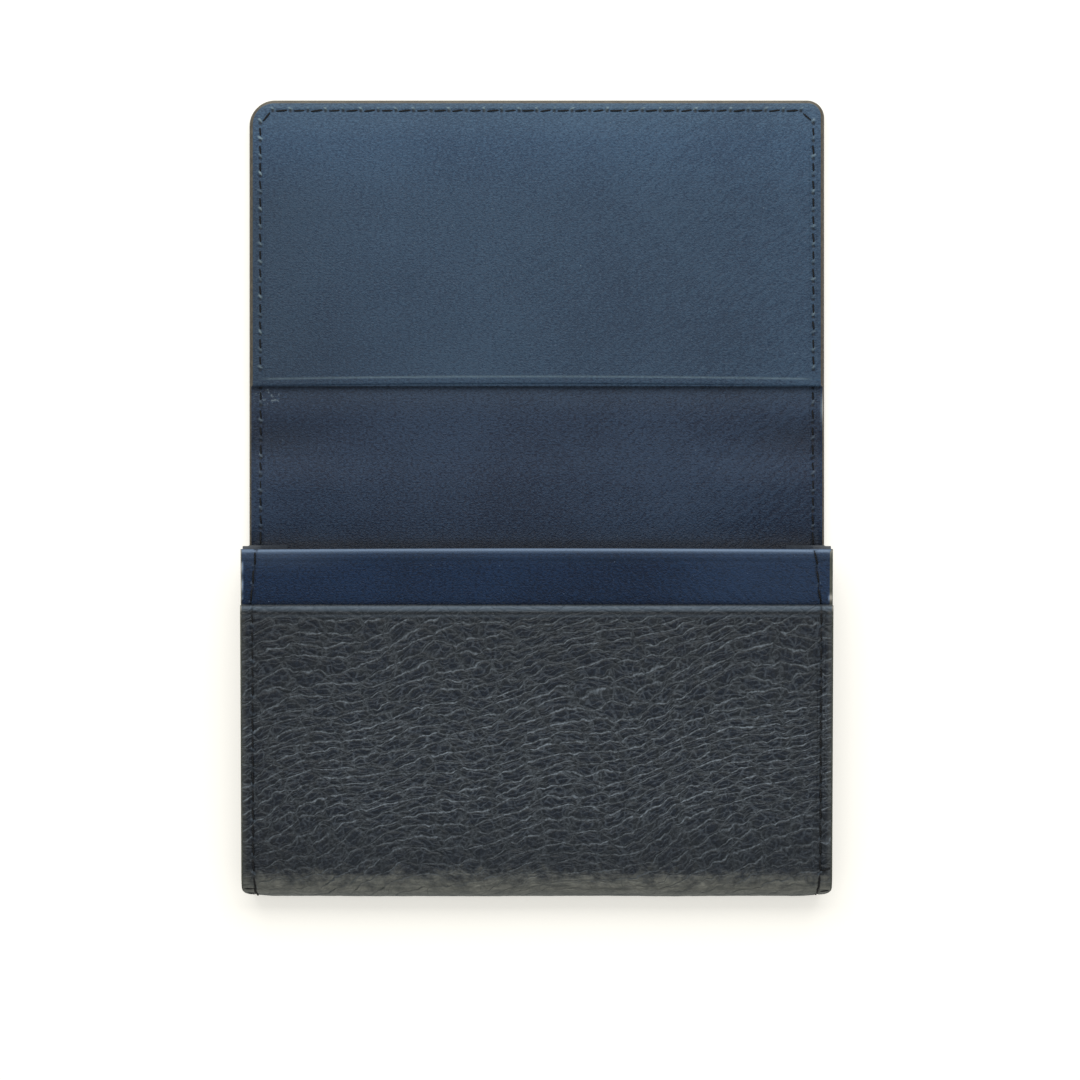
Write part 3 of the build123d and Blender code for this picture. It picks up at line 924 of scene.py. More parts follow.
def panel_painted_highlights(spots):
    """Painted light: the panel is paler beyond its stitching at the free end, and a painted highlight runs
    along the crease above its hem.
    """
    bow = 0.5 * MM * (1 - (spots[:, 0] / HALF) ** 2)
    crease = bump_at(spots[:, 1], POCKET_EDGE + PANEL_HEM + 0.2 * MM + bow, 0.3 * MM)
    end = 0.03 * ramp(spots[:, 1], FREE_EDGE - 9 * MM, FREE_EDGE - 3 * MM)
    return (
        0.3 * crease * ramp(inside(spots, HALF), 1 * MM, 5 * MM) + end
        + 0.055 * ramp(spots[:, 1], TOP_SEAM + 0.2 * MM, TOP_SEAM + 0.6 * MM)
    )


def panel_shade(spots):
    """Painted shade: the panel darkens from its free end to its hem, more on the left than on the right, and
    at each needle hole.
    """
    down = (FREE_EDGE - spots[:, 1]) / (FREE_EDGE - POCKET_EDGE)
    side = 0.14 * ramp(-spots[:, 0], 28 * MM, 52 * MM) - 0.05 * ramp(spots[:, 0], 30 * MM, 52 * MM)
    shade = 0.29 * ramp(down, 0.08, 0.42) + 0.05 * ramp(down, 0.4, 1.0) + side * ramp(down, 0.1, 0.4)
    return np.maximum(shade, needle_shadows(flat_layout(spots), panel_holes + top_hole_spots))


# painted glints by the needle holes, with the panel's painted highlights
def panel_painted_light(spots):
    sides = needle_glints(flat_layout(spots), panel_holes, RISING, 0.55 * MM, 0.8)
    top = needle_glints(flat_layout(spots), top_hole_spots, RISING, 0.4 * MM, 0.5)
    return np.maximum(sides, top) + panel_painted_highlights(spots)


store_wear_and_painted_light(flap_panel, panel_painted_light, panel_shade)

# ------------------------------------------------------------------ divider, drawn flat and then leaned
DIVIDER_TOP = BOTTOM + DIVIDER_HEIGHT
divider = slab(
    "divider_leather", (-FRONT_HALF, BOTTOM + 1 * MM, RADIUS + BACKING),
    (FRONT_HALF, DIVIDER_TOP, RADIUS + DIVIDER_FACE),
)
soften_rim(
    divider, RADIUS + BACKING, RADIUS + DIVIDER_FACE, lambda middle: np.abs(middle[:, 0]) < FRONT_HALF - TOUCH
)
slice_across(divider, "X", [FRONT_HALF - 0.6 * MM])
paint_rim(divider, lambda centres, normals: beyond(FRONT_HALF)(centres, normals)
          | (centres[:, 0] > FRONT_HALF - 0.6 * MM) & (normals[:, 2] > 0.5))
divider_lines = [DIVIDER_TOP - 14 * MM, DIVIDER_TOP - DIVIDER_HEM - 0.4 * MM, DIVIDER_TOP - DIVIDER_HEM]
slice_across(divider, "Y", divider_lines)


def divider_face(spots):
    return spots[:, 2] > RADIUS + DIVIDER_FACE - 0.05 * MM


turn_hem(
    divider, lambda spots: divider_face(spots) & (spots[:, 1] > DIVIDER_TOP - DIVIDER_HEM - NEAR),
    (0, 0, 0.15 * MM), lambda middle: middle[:, 1] > DIVIDER_TOP - NEAR, 0.6 * MM, 7,
)
cut_seam_band(divider, FRONT_SEAM)


def seen_divider(spots):
    return divider_face(spots) & (spots[:, 1] > DIVIDER_TOP - 14.01 * MM)


spread_points(divider, FRONT_SEAM, 0.42 * MM, seen_divider)


def divider_seam_x(side, up):
    """The seam leans in a little above the front wall, to meet the seam of the back, more so on the right."""
    lean = 1.1 * MM * np.clip((up - FRONT_HEIGHT) / (DIVIDER_HEIGHT - FRONT_HEIGHT), 0, 1)
    return side * (FRONT_SEAM - lean) - 0.45 * MM * (side > 0)


divider_steps = [FRONT_HEIGHT + 0.2 * MM + step * 3.45 * MM for step in range(4)]
divider_holes = [(divider_seam_x(side, up), up) for side in (-1, 1) for up in divider_steps]


def wall_layout(spots):
    return np.stack([spots[:, 0], spots[:, 1] - BOTTOM], 1)


ruffle(
    divider,
    lambda spots: seen_divider(spots) * ramp(DIVIDER_TOP - DIVIDER_HEM - spots[:, 1], 0, 2 * MM)
    * ramp(inside(spots, FRONT_HALF), 1 * MM, 5 * MM),
    18 * MM, 0.25 * MM, "Z",
)


def on_divider_seam(flat, width=0.5 * MM):
    across, up = flat[:, 0], flat[:, 1]
    return bump_at(across, divider_seam_x(np.sign(across), up), width) * (up > FRONT_HEIGHT)


seat_seam(divider, wall_layout, divider_holes, on_divider_seam, "NORMAL", 1)
lay_out(divider, wall_layout)


def divider_wear_and_painted_highlights(spots):
    """Painted highlights along the turned edge and by the needle holes, and painted light towards its top and
    at both ends. The paint of the side edges is rubbed through: in one place on the right, and in short
    dashes on the left."""
    across, up = spots[:, 0], spots[:, 1]
    edge = 0.66 * bump_at(up, DIVIDER_TOP - 0.3 * MM, 0.5 * MM)
    wall = 0.05 * ramp(up, DIVIDER_TOP - 3.5 * MM, DIVIDER_TOP - 1 * MM)
    left = 0.07 * ramp(-across, 30 * MM, 50 * MM) * ramp(up, DIVIDER_TOP - 6 * MM, DIVIDER_TOP - 1 * MM)
    right = 0.03 * ramp(across, 15 * MM, 45 * MM)
    glints = needle_glints(wall_layout(spots), divider_holes, -RISING, -0.4 * MM, 0.5)
    worn_place = 0.9 * (across > FRONT_HALF - 0.7 * MM) * bump_at(up, DIVIDER_TOP - 9.2 * MM, 0.9 * MM)
    left_side = (np.abs(across) > FRONT_HALF - 0.33 * MM) * (across < 0)
    dashes = (0.55 + 0.4 * np.sin(up / (0.55 * MM))) * left_side
    dashes *= ramp(up, DIVIDER_TOP - 9.8 * MM, DIVIDER_TOP - 9.4 * MM)
    dashes *= ramp(-up, 2.2 * MM - DIVIDER_TOP, 2.6 * MM - DIVIDER_TOP)
    return edge + wall + left + right + glints + worn_place + dashes


def divider_shade(spots):
    """Painted shade: dark under the hem, in the seam, and where the front wall ends before the divider."""
    up = spots[:, 1]
    under_hem = 0.12 * bump_at(up, DIVIDER_TOP - DIVIDER_HEM - 0.25 * MM, 0.5 * MM)
    seam = 0.8 * on_divider_seam(wall_layout(spots), 0.36 * MM)
    return np.maximum(under_hem, seam) + 0.5 * bump_at(up, BOTTOM + FRONT_HEIGHT + 0.2 * MM, 0.8 * MM)


store_wear_and_painted_light(divider, divider_wear_and_painted_highlights, divider_shade)
push(
    divider,
    lambda spots: ramp(spots[:, 1], DIVIDER_TOP - 5 * MM, DIVIDER_TOP) * (spots[:, 0] / FRONT_HALF) ** 2,
    "Y", -0.22 * MM,
)
tilt(divider)


# ------------------------------------------------------------------ gussets, in halves
GUSSET = 0.6 * MM
LEAN = math.radians(28)
FOLD_X = 51.4 * MM
MOUTH = DIVIDER_HEIGHT + 0.3 * MM
WALL_GAP = RADIUS + BACKING - LINING_TOP


def leaf_length(up):
    """Length of a leaf, from its fold to the centre crease, at a height up the pocket."""
    reach = (WALL_GAP + up * SIN) / 2 - 0.02 * MM
    fold_rise = 0.8 * MM - 0.5 * MM * math.cos(LEAN) + 0.3 * MM * math.cos(LEAN)
    return (reach - fold_rise) / math.sin(LEAN)


def gusset_half(name, side, wall, facing, half):
    """A sewn edge flat on its wall, and a leaf that folds away from it towards the centre crease."""
    across = sorted((side * half, side * FOLD_X))
    level = sorted((wall, wall + facing * GUSSET))
    low, high = BOTTOM + 1 * MM, BOTTOM + MOUTH
    piece = slab(name, (across[0], low, level[0]), (across[1], high, level[1]))
    inner = lambda spots, normals: (normals[:, 0] * -side > 0.85) & (np.abs(spots[:, 0]) < FOLD_X + NEAR)
    turn = {"center": (side * FOLD_X, 0, wall + facing * 0.8 * MM), "axis": (0, -side * facing, 0)}
    work(piece, "FACE", inner, bpy.ops.mesh.spin, steps=5, angle=LEAN, **turn)
    direction = (-side * math.cos(LEAN), 0, facing * math.sin(LEAN))
    tip = lambda spots, normals: (normals @ np.array(direction)) > 0.99
    short = leaf_length(1 * MM)
    work(
        piece, "FACE", tip, bpy.ops.mesh.extrude_region_move,
        TRANSFORM_OT_translate={"value": [part * short for part in direction]},
    )
    extra = leaf_length(MOUTH) - short
    far = lambda spots: (
        (np.abs(spots[:, 0]) < FOLD_X - 0.8 * MM) * np.clip((spots[:, 1] - low) / (high - low), 0, 1)
    )
    slice_across(piece, "Y", [low + step * (high - low) / 12 for step in range(1, 12)])
    push(piece, far, "X", direction[0] * extra)
    push(piece, far, "Z", direction[2] * extra)
    work(
        piece, "EDGE",
        lambda middle, run: (middle[:, 1] > high - TOUCH) & (np.hypot(run[:, 0], run[:, 2]) > GUSSET * 0.3)
        & (np.abs(np.hypot(run[:, 0], run[:, 2]) - GUSSET) > 0.02 * MM),
        bpy.ops.mesh.bevel, offset=0.15 * MM, segments=2,
    )
    return piece


def gusset_rub(spots):
    """Only the cut top of the fold is rubbed, most where it is sewn down."""
    top = ramp(spots[:, 1], BOTTOM + MOUTH - 0.35 * MM, BOTTOM + MOUTH - 0.2 * MM)
    return top * (0.05 + 0.3 * ramp(np.abs(spots[:, 0]), 50.5 * MM, 53 * MM))


gussets = []
for side, side_name in ((-1, "left"), (1, "right")):
    rear = gusset_half(f"gusset_{side_name}_rear", side, LINING_TOP, 1, HALF)
    front = gusset_half(f"gusset_{side_name}_front", side, RADIUS + BACKING, -1, FRONT_HALF - 0.3 * MM)
    for piece in (rear, front):
        lay_out(piece, wall_layout)
        store_wear_and_painted_light(piece, gusset_rub)
    tilt(front)
    gussets += [rear, front]

# ------------------------------------------------------------------ stitching
THREAD = 0.33 * MM


def model_stitch():
    """A laid stitch: thread that rises from its hole, lies on the leather and dips into the next."""
    bpy.ops.object.select_all(action="DESELECT")
    bpy.ops.mesh.primitive_cylinder_add(
        vertices=8, radius=THREAD / 2, depth=PITCH - 0.3 * MM, end_fill_type="NGON",
        rotation=(0, math.pi / 2, 0),
    )
    stitch = bpy.context.object
    stitch.name = stitch.data.name = "stitch"
    bpy.ops.object.transform_apply(location=True, rotation=True, scale=True)
    slice_across(stitch, "X", [place * MM for place in (-1.35, -1.2, -0.95, -0.5, 0, 0.5, 0.95, 1.2, 1.35)])
    push(stitch, lambda spots: ramp(np.abs(spots[:, 0]), 0.75 * MM, 1.5 * MM), "Z", -0.42 * MM)
    push(stitch, lambda spots: bump_at(spots[:, 0], 0, 1.3 * MM), "Z", 0.06 * MM)
    note(stitch, "lay", read(stitch.data.vertices, "co", 3) / MM)
    return stitch


stitch = model_stitch()


def sew(name, runs):
    """Copies the stitch between pairs of needle holes and joins the copies into one piece.
    Each run is a start, an end and the direction that the face looks in."""
    copies = []
    for number, (start, end, outward) in enumerate(runs):
        copy = bpy.data.objects.new(name, stitch.data.copy())
        bpy.context.collection.objects.link(copy)
        along = (end - start).normalized()
        across = outward.cross(along).normalized()
        slant = math.radians(5 + 3 * math.sin(number * 2.4))
        turned = along * math.cos(slant) + across * math.sin(slant)
        aside = across * math.cos(slant) - along * math.sin(slant)
        up = turned.cross(aside)
        stretch = (end - start).length / PITCH
        place = Matrix((turned * stretch, aside, up)).transposed().to_4x4()
        place.translation = (start + end) / 2 + up * (0.05 * math.sin(number * 3.7) - 0.03) * MM
        copy.matrix_world = place
        copies.append(copy)
    pick(*copies)
    bpy.ops.object.join()
    bpy.ops.object.transform_apply(location=True, rotation=True, scale=True)
    piece = bpy.context.object
    piece.data.name = name
    return piece


def seam_height(x, y):
    """Middle of the thread above the table: just sunk into whichever layer is uppermost there."""
    if y < BOTTOM + MOUTH:
        return LINING_TOP + GUSSET + 0.1 * MM
    heights = []
    for piece in (flap_panel, flap_lining, pocket_lining):
        for aside in (-0.5, 0.5):
            found, spot, _, _ = piece.ray_cast((x + aside * MM, y, 20 * MM), (0, 0, -1))
            if found:
                heights.append(spot.z)
    return max(heights) - 0.02 * MM


UP, DOWN = Vector((0, 0, 1)), Vector((0, 0, -1))
UNDER = 0.2 * MM


def pairs(holes, outward):
    return [(start, end, outward) for start, end in zip(holes, holes[1:])]


flap_runs, back_runs = [], []
for side in (-1, 1):
    inner = [Vector((side * SEAM, y, seam_height(side * SEAM, y))) for y in SIDE_HOLES]
    under = [Vector((side * SEAM, y, UNDER)) for y in SIDE_HOLES]
    drawn_tight = [
        (start.lerp(end, 0.12), end.lerp(start, 0.12 + 0.05 * math.sin(start.y / MM)), UP)
        for start, end in zip(inner, inner[1:])
    ]
    for run in drawn_tight + pairs(under, DOWN):
        middle = (run[0].y + run[1].y) / 2
        (flap_runs if middle > SPINE_MIDDLE else back_runs).append(run)
for height, outward in ((PANEL_TOP - 0.03 * MM, UP), (UNDER, DOWN)):
    top = [Vector((x, TOP_SEAM, height)) for x in TOP_HOLES]
    ends = [Vector((side * SEAM, TOP_SEAM - TURN, height)) for side in (-1, 1)]
    flap_runs += pairs([ends[0]] + top + [ends[1]], outward)

WALL_OUT = Vector((0, -SIN, COS))


def on_the_wall(x, up, out):
    return Vector((x, BOTTOM + up * COS - out * SIN, RADIUS + up * SIN + out * COS))


def on_the_strip(x, along, sunk):
    """A place on the outer face of the front wall or the bottom fold, and the direction that it faces."""
    if along > CURL:
        return on_the_wall(x, along - CURL, RADIUS - sunk), WALL_OUT
    angle = along / RADIUS
    facing = Vector((0, -math.sin(angle), -math.cos(angle)))
    return Vector((x, BOTTOM, RADIUS)) + facing * (RADIUS - sunk), facing


def thread_sunk(up):
    """Depth of the thread's middle under the face. It stands proud on the raised hem, and round the bottom
    fold, where a straight stitch would cut into the curve."""
    if up > FRONT_HEIGHT - HEM:
        return -0.1 * MM
    return 0.04 * MM - 0.32 * MM * float(ramp(np.array([-up]), -1 * MM, 2.5 * MM)[0])


front_runs = []
for side, tacks in ((-1, (1.5, 3.0)), (1, (2.3, 7.4))):
    for tack in tacks:  # the seam is locked with stitches that go over the side
        along = CURL / 2 + tack * MM
        start, facing = on_the_strip(side * (front_seam_x(along) - 0.1 * MM), along, -0.08 * MM)
        end, _ = on_the_strip(side * (half_at(along) + 0.05 * MM), along + 0.35 * MM, 0.02 * MM)
        front_runs.append((start, end, facing))
    along = CURL / 2 + 0.4 * MM
    knot_x = side * (front_seam_x(along) - 0.15 * MM)
    ends = [on_the_strip(knot_x, along + aside * MM, -0.22 * MM) for aside in (0.9, -0.9)]
    front_runs.append((ends[0][0], ends[1][0], ends[0][1]))  # the knot
    holes = [on_the_strip(side * front_seam_x(CURL + up), CURL + up, thread_sunk(up)) for up in FRONT_HOLES]
    front_runs += [
        (start, end, (facing + next_facing).normalized())
        for (start, facing), (end, next_facing) in zip(holes, holes[1:])
    ]
    raised = [0.18 * MM if up > DIVIDER_HEIGHT - DIVIDER_HEM else 0.0 for up in divider_steps]  # on the hem
    holes = [
        on_the_wall(divider_seam_x(side, up), up, DIVIDER_FACE + rise)
        for up, rise in zip(divider_steps, raised)
    ]
    front_runs += pairs(holes, WALL_OUT)
stitching_flap = sew("stitching_flap", flap_runs)
stitching_back = sew("stitching_back", back_runs)
stitching_front = sew("stitching_front", front_runs)
bpy.data.objects.remove(stitch)


# ------------------------------------------------------------------ materials
def start_material(name):
    material = bpy.data.materials.new(name)
    material.use_nodes = True
    material.node_tree.nodes.clear()
    return material, material.node_tree


def finish_material(tree, colour, normal, **settings):
    shader = add(tree, "BsdfPrincipled", {"Base Color": colour, "Normal": normal, **settings})
    add(tree, "OutputMaterial", {"Surface": shader})


def marked(tree, dyed, thin, waxed):
    """The dyed colour, paler towards the thin colour with real wear and painted highlights, and darker
    towards the waxed colour with painted shade.
    """
    rubbed, grooved = [
        add(tree, "Attribute", attribute_name=name).outputs["Fac"] for name in ("rubbed", "grooved")
    ]
    paler = add(tree, "Mix", {0: rubbed, 6: dyed, 7: linear(thin)}, **RGBA)
    return add(tree, "Mix", {0: grooved, 6: paler, 7: linear(waxed)}, **RGBA)


def make_shrunken_calf():
    """Shrunken calf, drum dyed: dark navy-grey pebbles, with thin creases painted paler as a highlight where
    their rims catch the light, a soft wax shine, and a paler olive cast round the bottom fold that is a
    painted reflection of the warm table."""
    material, tree = start_material("shrunken_calf_navy")
    place = add(tree, "Attribute", attribute_name="lay").outputs["Vector"]
    main, across, slant, fine = shrunken_grain(tree, place)
    # a long crease is broad and clear along the lay, thin and faint across it
    width = add(tree, "MapRange", {"Value": across, "To Min": 0.115, "To Max": 0.05})
    weight = add(tree, "MapRange", {"Value": across, "To Min": 1.0, "To Max": 0.24})
    line, slanting, wrinkle = [
        add(
            tree, "MapRange",
            {"Value": near, "From Min": start, "From Max": end, "To Min": most, "To Max": 0}, **SOFT
        )
        for near, start, end, most in ((main, 0.008, width, 1), (slant, 0, 0.07, 0.24), (fine, 0, 0.18, 0.26))
    ]
    weighted = add(tree, "Math", {0: line, 1: weight}, operation="MULTIPLY")
    lesser = add(tree, "Math", {0: slanting, 1: wrinkle}, operation="MAXIMUM")
    lines = add(tree, "Math", {0: weighted, 1: lesser}, operation="MAXIMUM")
    # how clearly the creases show: in patches and flecks, less at the hem, round the bottom and near the top
    sideways, along, _ = add(tree, "SeparateXYZ", {"Vector": place}).outputs
    curl_end, top, hem = CURL / MM, FRONT_END / MM, (FRONT_END - HEM) / MM
    below_hem, worn_smooth, fainter = [
        add(
            tree, "MapRange",
            {"Value": along, "From Min": low, "From Max": high, "To Min": first, "To Max": last}, **SOFT
        )
        for low, high, first, last in (
            (hem - 1, hem + 0.2, 1, 0.12),
            (curl_end + 1, curl_end + 17, 0.55, 1.08),
            (top - 26, top - 8, 1, 0.76),
        )
    ]
    broken = add(tree, "TexNoise", {"Vector": place, "Scale": 0.4, "Detail": 3.0, "Roughness": 0.65}, **FLAT)
    patch = add(tree, "MapRange", {"Value": broken, "From Min": 0.36, "From Max": 0.62, "To Min": 0.4})
    faded = add(tree, "Math", {0: patch, 1: below_hem}, operation="MULTIPLY")
    speckle = add(tree, "TexNoise", {"Vector": place, "Scale": 1.9, "Detail": 3.0, "Roughness": 0.7}, **FLAT)
    flecks = add(
        tree, "MapRange",
        {"Value": speckle, "From Min": 0.36, "From Max": 0.62, "To Min": 0.5, "To Max": 1.15},
    )
    clearer = add(tree, "Math", {0: worn_smooth, 1: fainter}, operation="MULTIPLY")
    clear_flecks = add(tree, "Math", {0: clearer, 1: flecks}, operation="MULTIPLY")
    flecked = add(tree, "Math", {0: lines, 1: clear_flecks}, operation="MULTIPLY")
    shown = add(tree, "Math", {0: flecked, 1: faded}, operation="MULTIPLY", use_clamp=True)
    heart = add(tree, "MapRange", {"Value": main, "From Min": 0.06, "From Max": 0.34}, **SOFT)
    hearts_below = add(tree, "Math", {0: heart, 1: below_hem}, operation="MULTIPLY")
    hearts = add(tree, "Math", {0: hearts_below, 1: worn_smooth}, operation="MULTIPLY")
    grit = add(tree, "MapRange", {"Value": speckle, "From Min": 0.38, "From Max": 0.62})
    ground = add(tree, "Mix", {0: grit, 6: linear("#131C24"), 7: linear("#272E36")}, **RGBA)
    dark = add(tree, "Mix", {0: grit, 6: linear("#09131F"), 7: linear("#1A2635")}, **RGBA)
    pebbles = add(tree, "Mix", {0: hearts, 6: ground, 7: dark}, **RGBA)
    # the creases are painted paler: a painted highlight on their rims
    slack_colour = add(tree, "Mix", {0: shown, 6: pebbles, 7: linear("#84909C")}, **RGBA)
    # round the bottom fold, a painted reflection of the warm table: dark creases on a paler olive ground that
    # is streaked across
    drawn = add(tree, "VectorMath", {0: place, 1: (0.3, 1.5, 0)}, operation="MULTIPLY")
    streak = add(
        tree, "TexNoise",
        {"Vector": drawn, "Scale": 0.8, "Detail": 3.0, "Roughness": 0.6, "Distortion": 0.5}, **FLAT
    )
    ridges = add(tree, "MapRange", {"Value": streak, "From Min": 0.25, "From Max": 0.75})
    olive_ground = add(tree, "Mix", {0: ridges, 6: linear("#5F6360"), 7: linear("#8B8D87")}, **RGBA)
    olive_lines = add(tree, "Math", {0: lines, 1: patch}, operation="MULTIPLY", use_clamp=True)
    olive_colour = add(tree, "Mix", {0: olive_lines, 6: olive_ground, 7: linear("#343A3B")}, **RGBA)
    wandering = add(tree, "Math", {0: broken, 1: -8.0, 2: along}, operation="MULTIPLY_ADD")
    curl = add(
        tree, "MapRange", {"Value": wandering, "From Min": curl_end - 2.1, "From Max": curl_end - 8.5}, **SOFT
    )
    back = add(tree, "MapRange", {"Value": along, "From Min": 1.0, "From Max": 6.0}, **SOFT)
    olive_bottom = add(tree, "Math", {0: curl, 1: back}, operation="MULTIPLY")
    # a little of the same paler olive runs along both side edges
    from_middle = add(tree, "Math", {0: sideways}, operation="ABSOLUTE")
    side = FRONT_HALF / MM
    olive_sides = add(
        tree, "MapRange",
        {"Value": from_middle, "From Min": side - 1.3, "From Max": side - 0.6, "To Max": 0.18}, **SOFT
    )
    olive_share = add(tree, "Math", {0: olive_bottom, 1: olive_sides}, operation="MAXIMUM")
    dyed = add(tree, "Mix", {0: olive_share, 6: slack_colour, 7: olive_colour}, **RGBA)
    shallower = add(tree, "Math", {0: across, 1: 0.09, 2: main}, operation="MULTIPLY_ADD")
    nearest = add(tree, "Math", {0: shallower, 1: slant}, operation="MINIMUM")
    height = add(tree, "MapRange", {"Value": nearest, "From Max": 0.18}, **SOFT)
    small = add(tree, "MapRange", {"Value": fine, "From Max": 0.22, "To Max": 0.4}, **SOFT)
    relief = add(tree, "Math", {0: height, 1: small}, operation="ADD")
    gritty = add(tree, "Math", {0: speckle, 1: 0.9, 2: relief}, operation="MULTIPLY_ADD")
    normal = add(tree, "Bump", {"Height": gritty, "Distance": 0.13 * MM, "Strength": 0.8})
    rough = add(tree, "MapRange", {"Value": shown, "To Min": 0.48, "To Max": 0.7})
    # 76889B is the paler colour for painted highlights, #0B0F15 the colour of painted shade
    finish_material(tree, marked(tree, dyed, "#76889B", "#0B0F15"), normal, Roughness=rough, IOR=1.4)
    return material


def make_smooth_calf(name, deep, light, thin, roughness, grain, gloss=0.5):
    """Smooth calf, aniline dyed and lightly glazed: even navy, with hair cells and hair-fine wrinkles about
    0.5 mm apart that break the shine; paler where it is rubbed or scuffed, with painted highlights where it
    bends over an edge, and darker with painted shade."""
    material, tree = start_material(name)
    place = add(tree, "Attribute", attribute_name="lay").outputs["Vector"]
    cloud = add(tree, "TexNoise", {"Vector": place, "Scale": 0.035, "Detail": 2.0, "Roughness": 0.5}, **FLAT)
    turned = add(tree, "VectorRotate", {"Vector": place, "Angle": math.radians(42)}, rotation_type="Z_AXIS")
    slanted = add(tree, "VectorMath", {0: turned, 1: (0.3, 1.15, 0)}, operation="MULTIPLY")
    wrinkled = add(tree, "VectorMath", {0: place, 1: (1.0, 1.7, 0)}, operation="MULTIPLY")
    drawn, wrinkles = [
        add(
            tree, "TexNoise",
            {"Vector": spot, "Scale": scale, "Detail": 2.0, "Roughness": 0.6, "Distortion": wander}, **FLAT
        )
        for spot, scale, wander in ((slanted, 1.0, 0.4), (wrinkled, 1.9, 0.6))
    ]
    sideways = add(tree, "SeparateXYZ", {"Vector": place}).outputs[0]
    stretch = add(tree, "MapRange", {"Value": sideways, "From Min": -25.0, "From Max": 35.0, "To Min": 0.15})
    centred = add(tree, "Math", {0: drawn, 1: 0.5}, operation="SUBTRACT")
    slants = add(tree, "Math", {0: centred, 1: stretch}, operation="MULTIPLY")
    even = add(tree, "Math", {0: cloud, 1: 0.45, 2: 0.05}, operation="MULTIPLY_ADD")
    mixed = add(tree, "Math", {0: slants, 1: 0.5, 2: even}, operation="MULTIPLY_ADD")
    uneven = add(tree, "Math", {0: wrinkles, 1: 1.4, 2: mixed}, operation="MULTIPLY_ADD")
    spread = add(tree, "MapRange", {"Value": uneven, "From Min": 0.74, "From Max": 1.16})
    ground = add(tree, "Mix", {0: spread, 6: linear(deep), 7: linear(light)}, **RGBA)
    cells = add(tree, "TexVoronoi", {"Vector": place, "Scale": 2.1, "Randomness": 1.0}, **CELL_EDGES)
    speck = add(tree, "TexNoise", {"Vector": place, "Scale": 1.0, "Detail": 1.0}, **FLAT)
    small = add(tree, "TexNoise", {"Vector": place, "Scale": 1.5, "Detail": 2.0}, **FLAT)
    scuffed = add(tree, "Attribute", attribute_name="scuffed").outputs["Fac"]
    raised = add(tree, "Math", {0: scuffed, 1: 0.22, 2: small}, operation="MULTIPLY_ADD")
    nicks = add(tree, "MapRange", {"Value": raised, "From Min": 0.8, "From Max": 0.86, "To Max": 0.55})
    nicked = add(tree, "Mix", {0: nicks, 6: ground, 7: linear(thin)}, **RGBA)
    cell_height = add(tree, "MapRange", {"Value": cells, "From Max": 0.2, "To Max": 0.5})
    rippled = add(tree, "Math", {0: slants, 1: 2.1, 2: cell_height}, operation="MULTIPLY_ADD")
    whole = add(tree, "Math", {0: wrinkles, 1: 2.0, 2: rippled}, operation="MULTIPLY_ADD")
    normal = add(tree, "Bump", {"Height": whole, "Distance": 0.06 * MM, "Strength": grain})
    rough = add(tree, "MapRange", {"Value": speck, "To Min": roughness - 0.05, "To Max": roughness + 0.07})
    # the thin colour serves scuffs, real wear and painted highlights; #0A0E16 is the colour of painted shade
    colour = marked(tree, nicked, thin, "#0A0E16")
    finish_material(tree, colour, normal, **{"Roughness": rough, "IOR": 1.4, "Specular IOR Level": gloss})
    return material


def make_edge_paint():
    """Edge paint: several coats of taupe acrylic, rubbed down, satin and slightly uneven, darker and greener
    on the front, where it has taken up wax, and pale where it is rubbed through to the fibre and where
    highlights are painted on the rim."""
    material, tree = start_material("edge_paint_taupe")
    place = add(tree, "TexCoord").outputs["Object"]
    uneven = add(tree, "TexNoise", {"Vector": place, "Scale": 900.0, "Detail": 3.0})
    spread = add(tree, "MapRange", {"Value": uneven, "From Min": 0.3, "From Max": 0.7})
    taupe = add(tree, "Mix", {0: spread, 6: linear("#443F37"), 7: linear("#625D51")}, **RGBA)
    waxed = add(tree, "Mix", {0: spread, 6: linear("#383D38"), 7: linear("#51564E")}, **RGBA)
    lay = add(tree, "Attribute", attribute_name="lay").outputs["Vector"]
    along = add(tree, "SeparateXYZ", {"Vector": lay}).outputs[1]
    on_front = add(tree, "MapRange", {"Value": along, "From Min": 3.0, "From Max": 8.0})
    coat = add(tree, "Mix", {0: on_front, 6: taupe, 7: waxed}, **RGBA)
    rubbed = add(tree, "Attribute", attribute_name="rubbed").outputs["Fac"]
    colour = add(tree, "Mix", {0: rubbed, 6: coat, 7: linear("#B4B3AC")}, **RGBA)
    normal = add(tree, "Bump", {"Height": uneven, "Distance": 0.05 * MM, "Strength": 0.5})
    finish_material(tree, colour, normal, Roughness=0.42, IOR=1.47)
    return material


def make_thread():
    """Waxed polyester thread, three ply: nearly black navy with a low shine along its twist."""
    material, tree = start_material("waxed_thread_black_navy")
    place = add(tree, "Attribute", attribute_name="lay").outputs["Vector"]
    along, across, up = add(tree, "SeparateXYZ", {"Vector": place}).outputs
    around = add(tree, "Math", {0: up, 1: across}, operation="ARCTAN2")
    turning = add(tree, "Math", {0: along, 1: 4.5, 2: around}, operation="MULTIPLY_ADD")
    ply = add(tree, "Math", {0: turning, 1: 3.0}, operation="MULTIPLY")
    strand = add(tree, "Math", {0: ply}, operation="SINE")
    lit = add(tree, "MapRange", {"Value": strand, "From Min": -1.0})
    colour = add(tree, "Mix", {0: lit, 6: linear("#05070A"), 7: linear("#12161D")}, **RGBA)
    normal = add(tree, "Bump", {"Height": strand, "Distance": 0.05 * MM, "Strength": 0.7})
    finish_material(tree, colour, normal, Roughness=0.55, IOR=1.4)
    return material


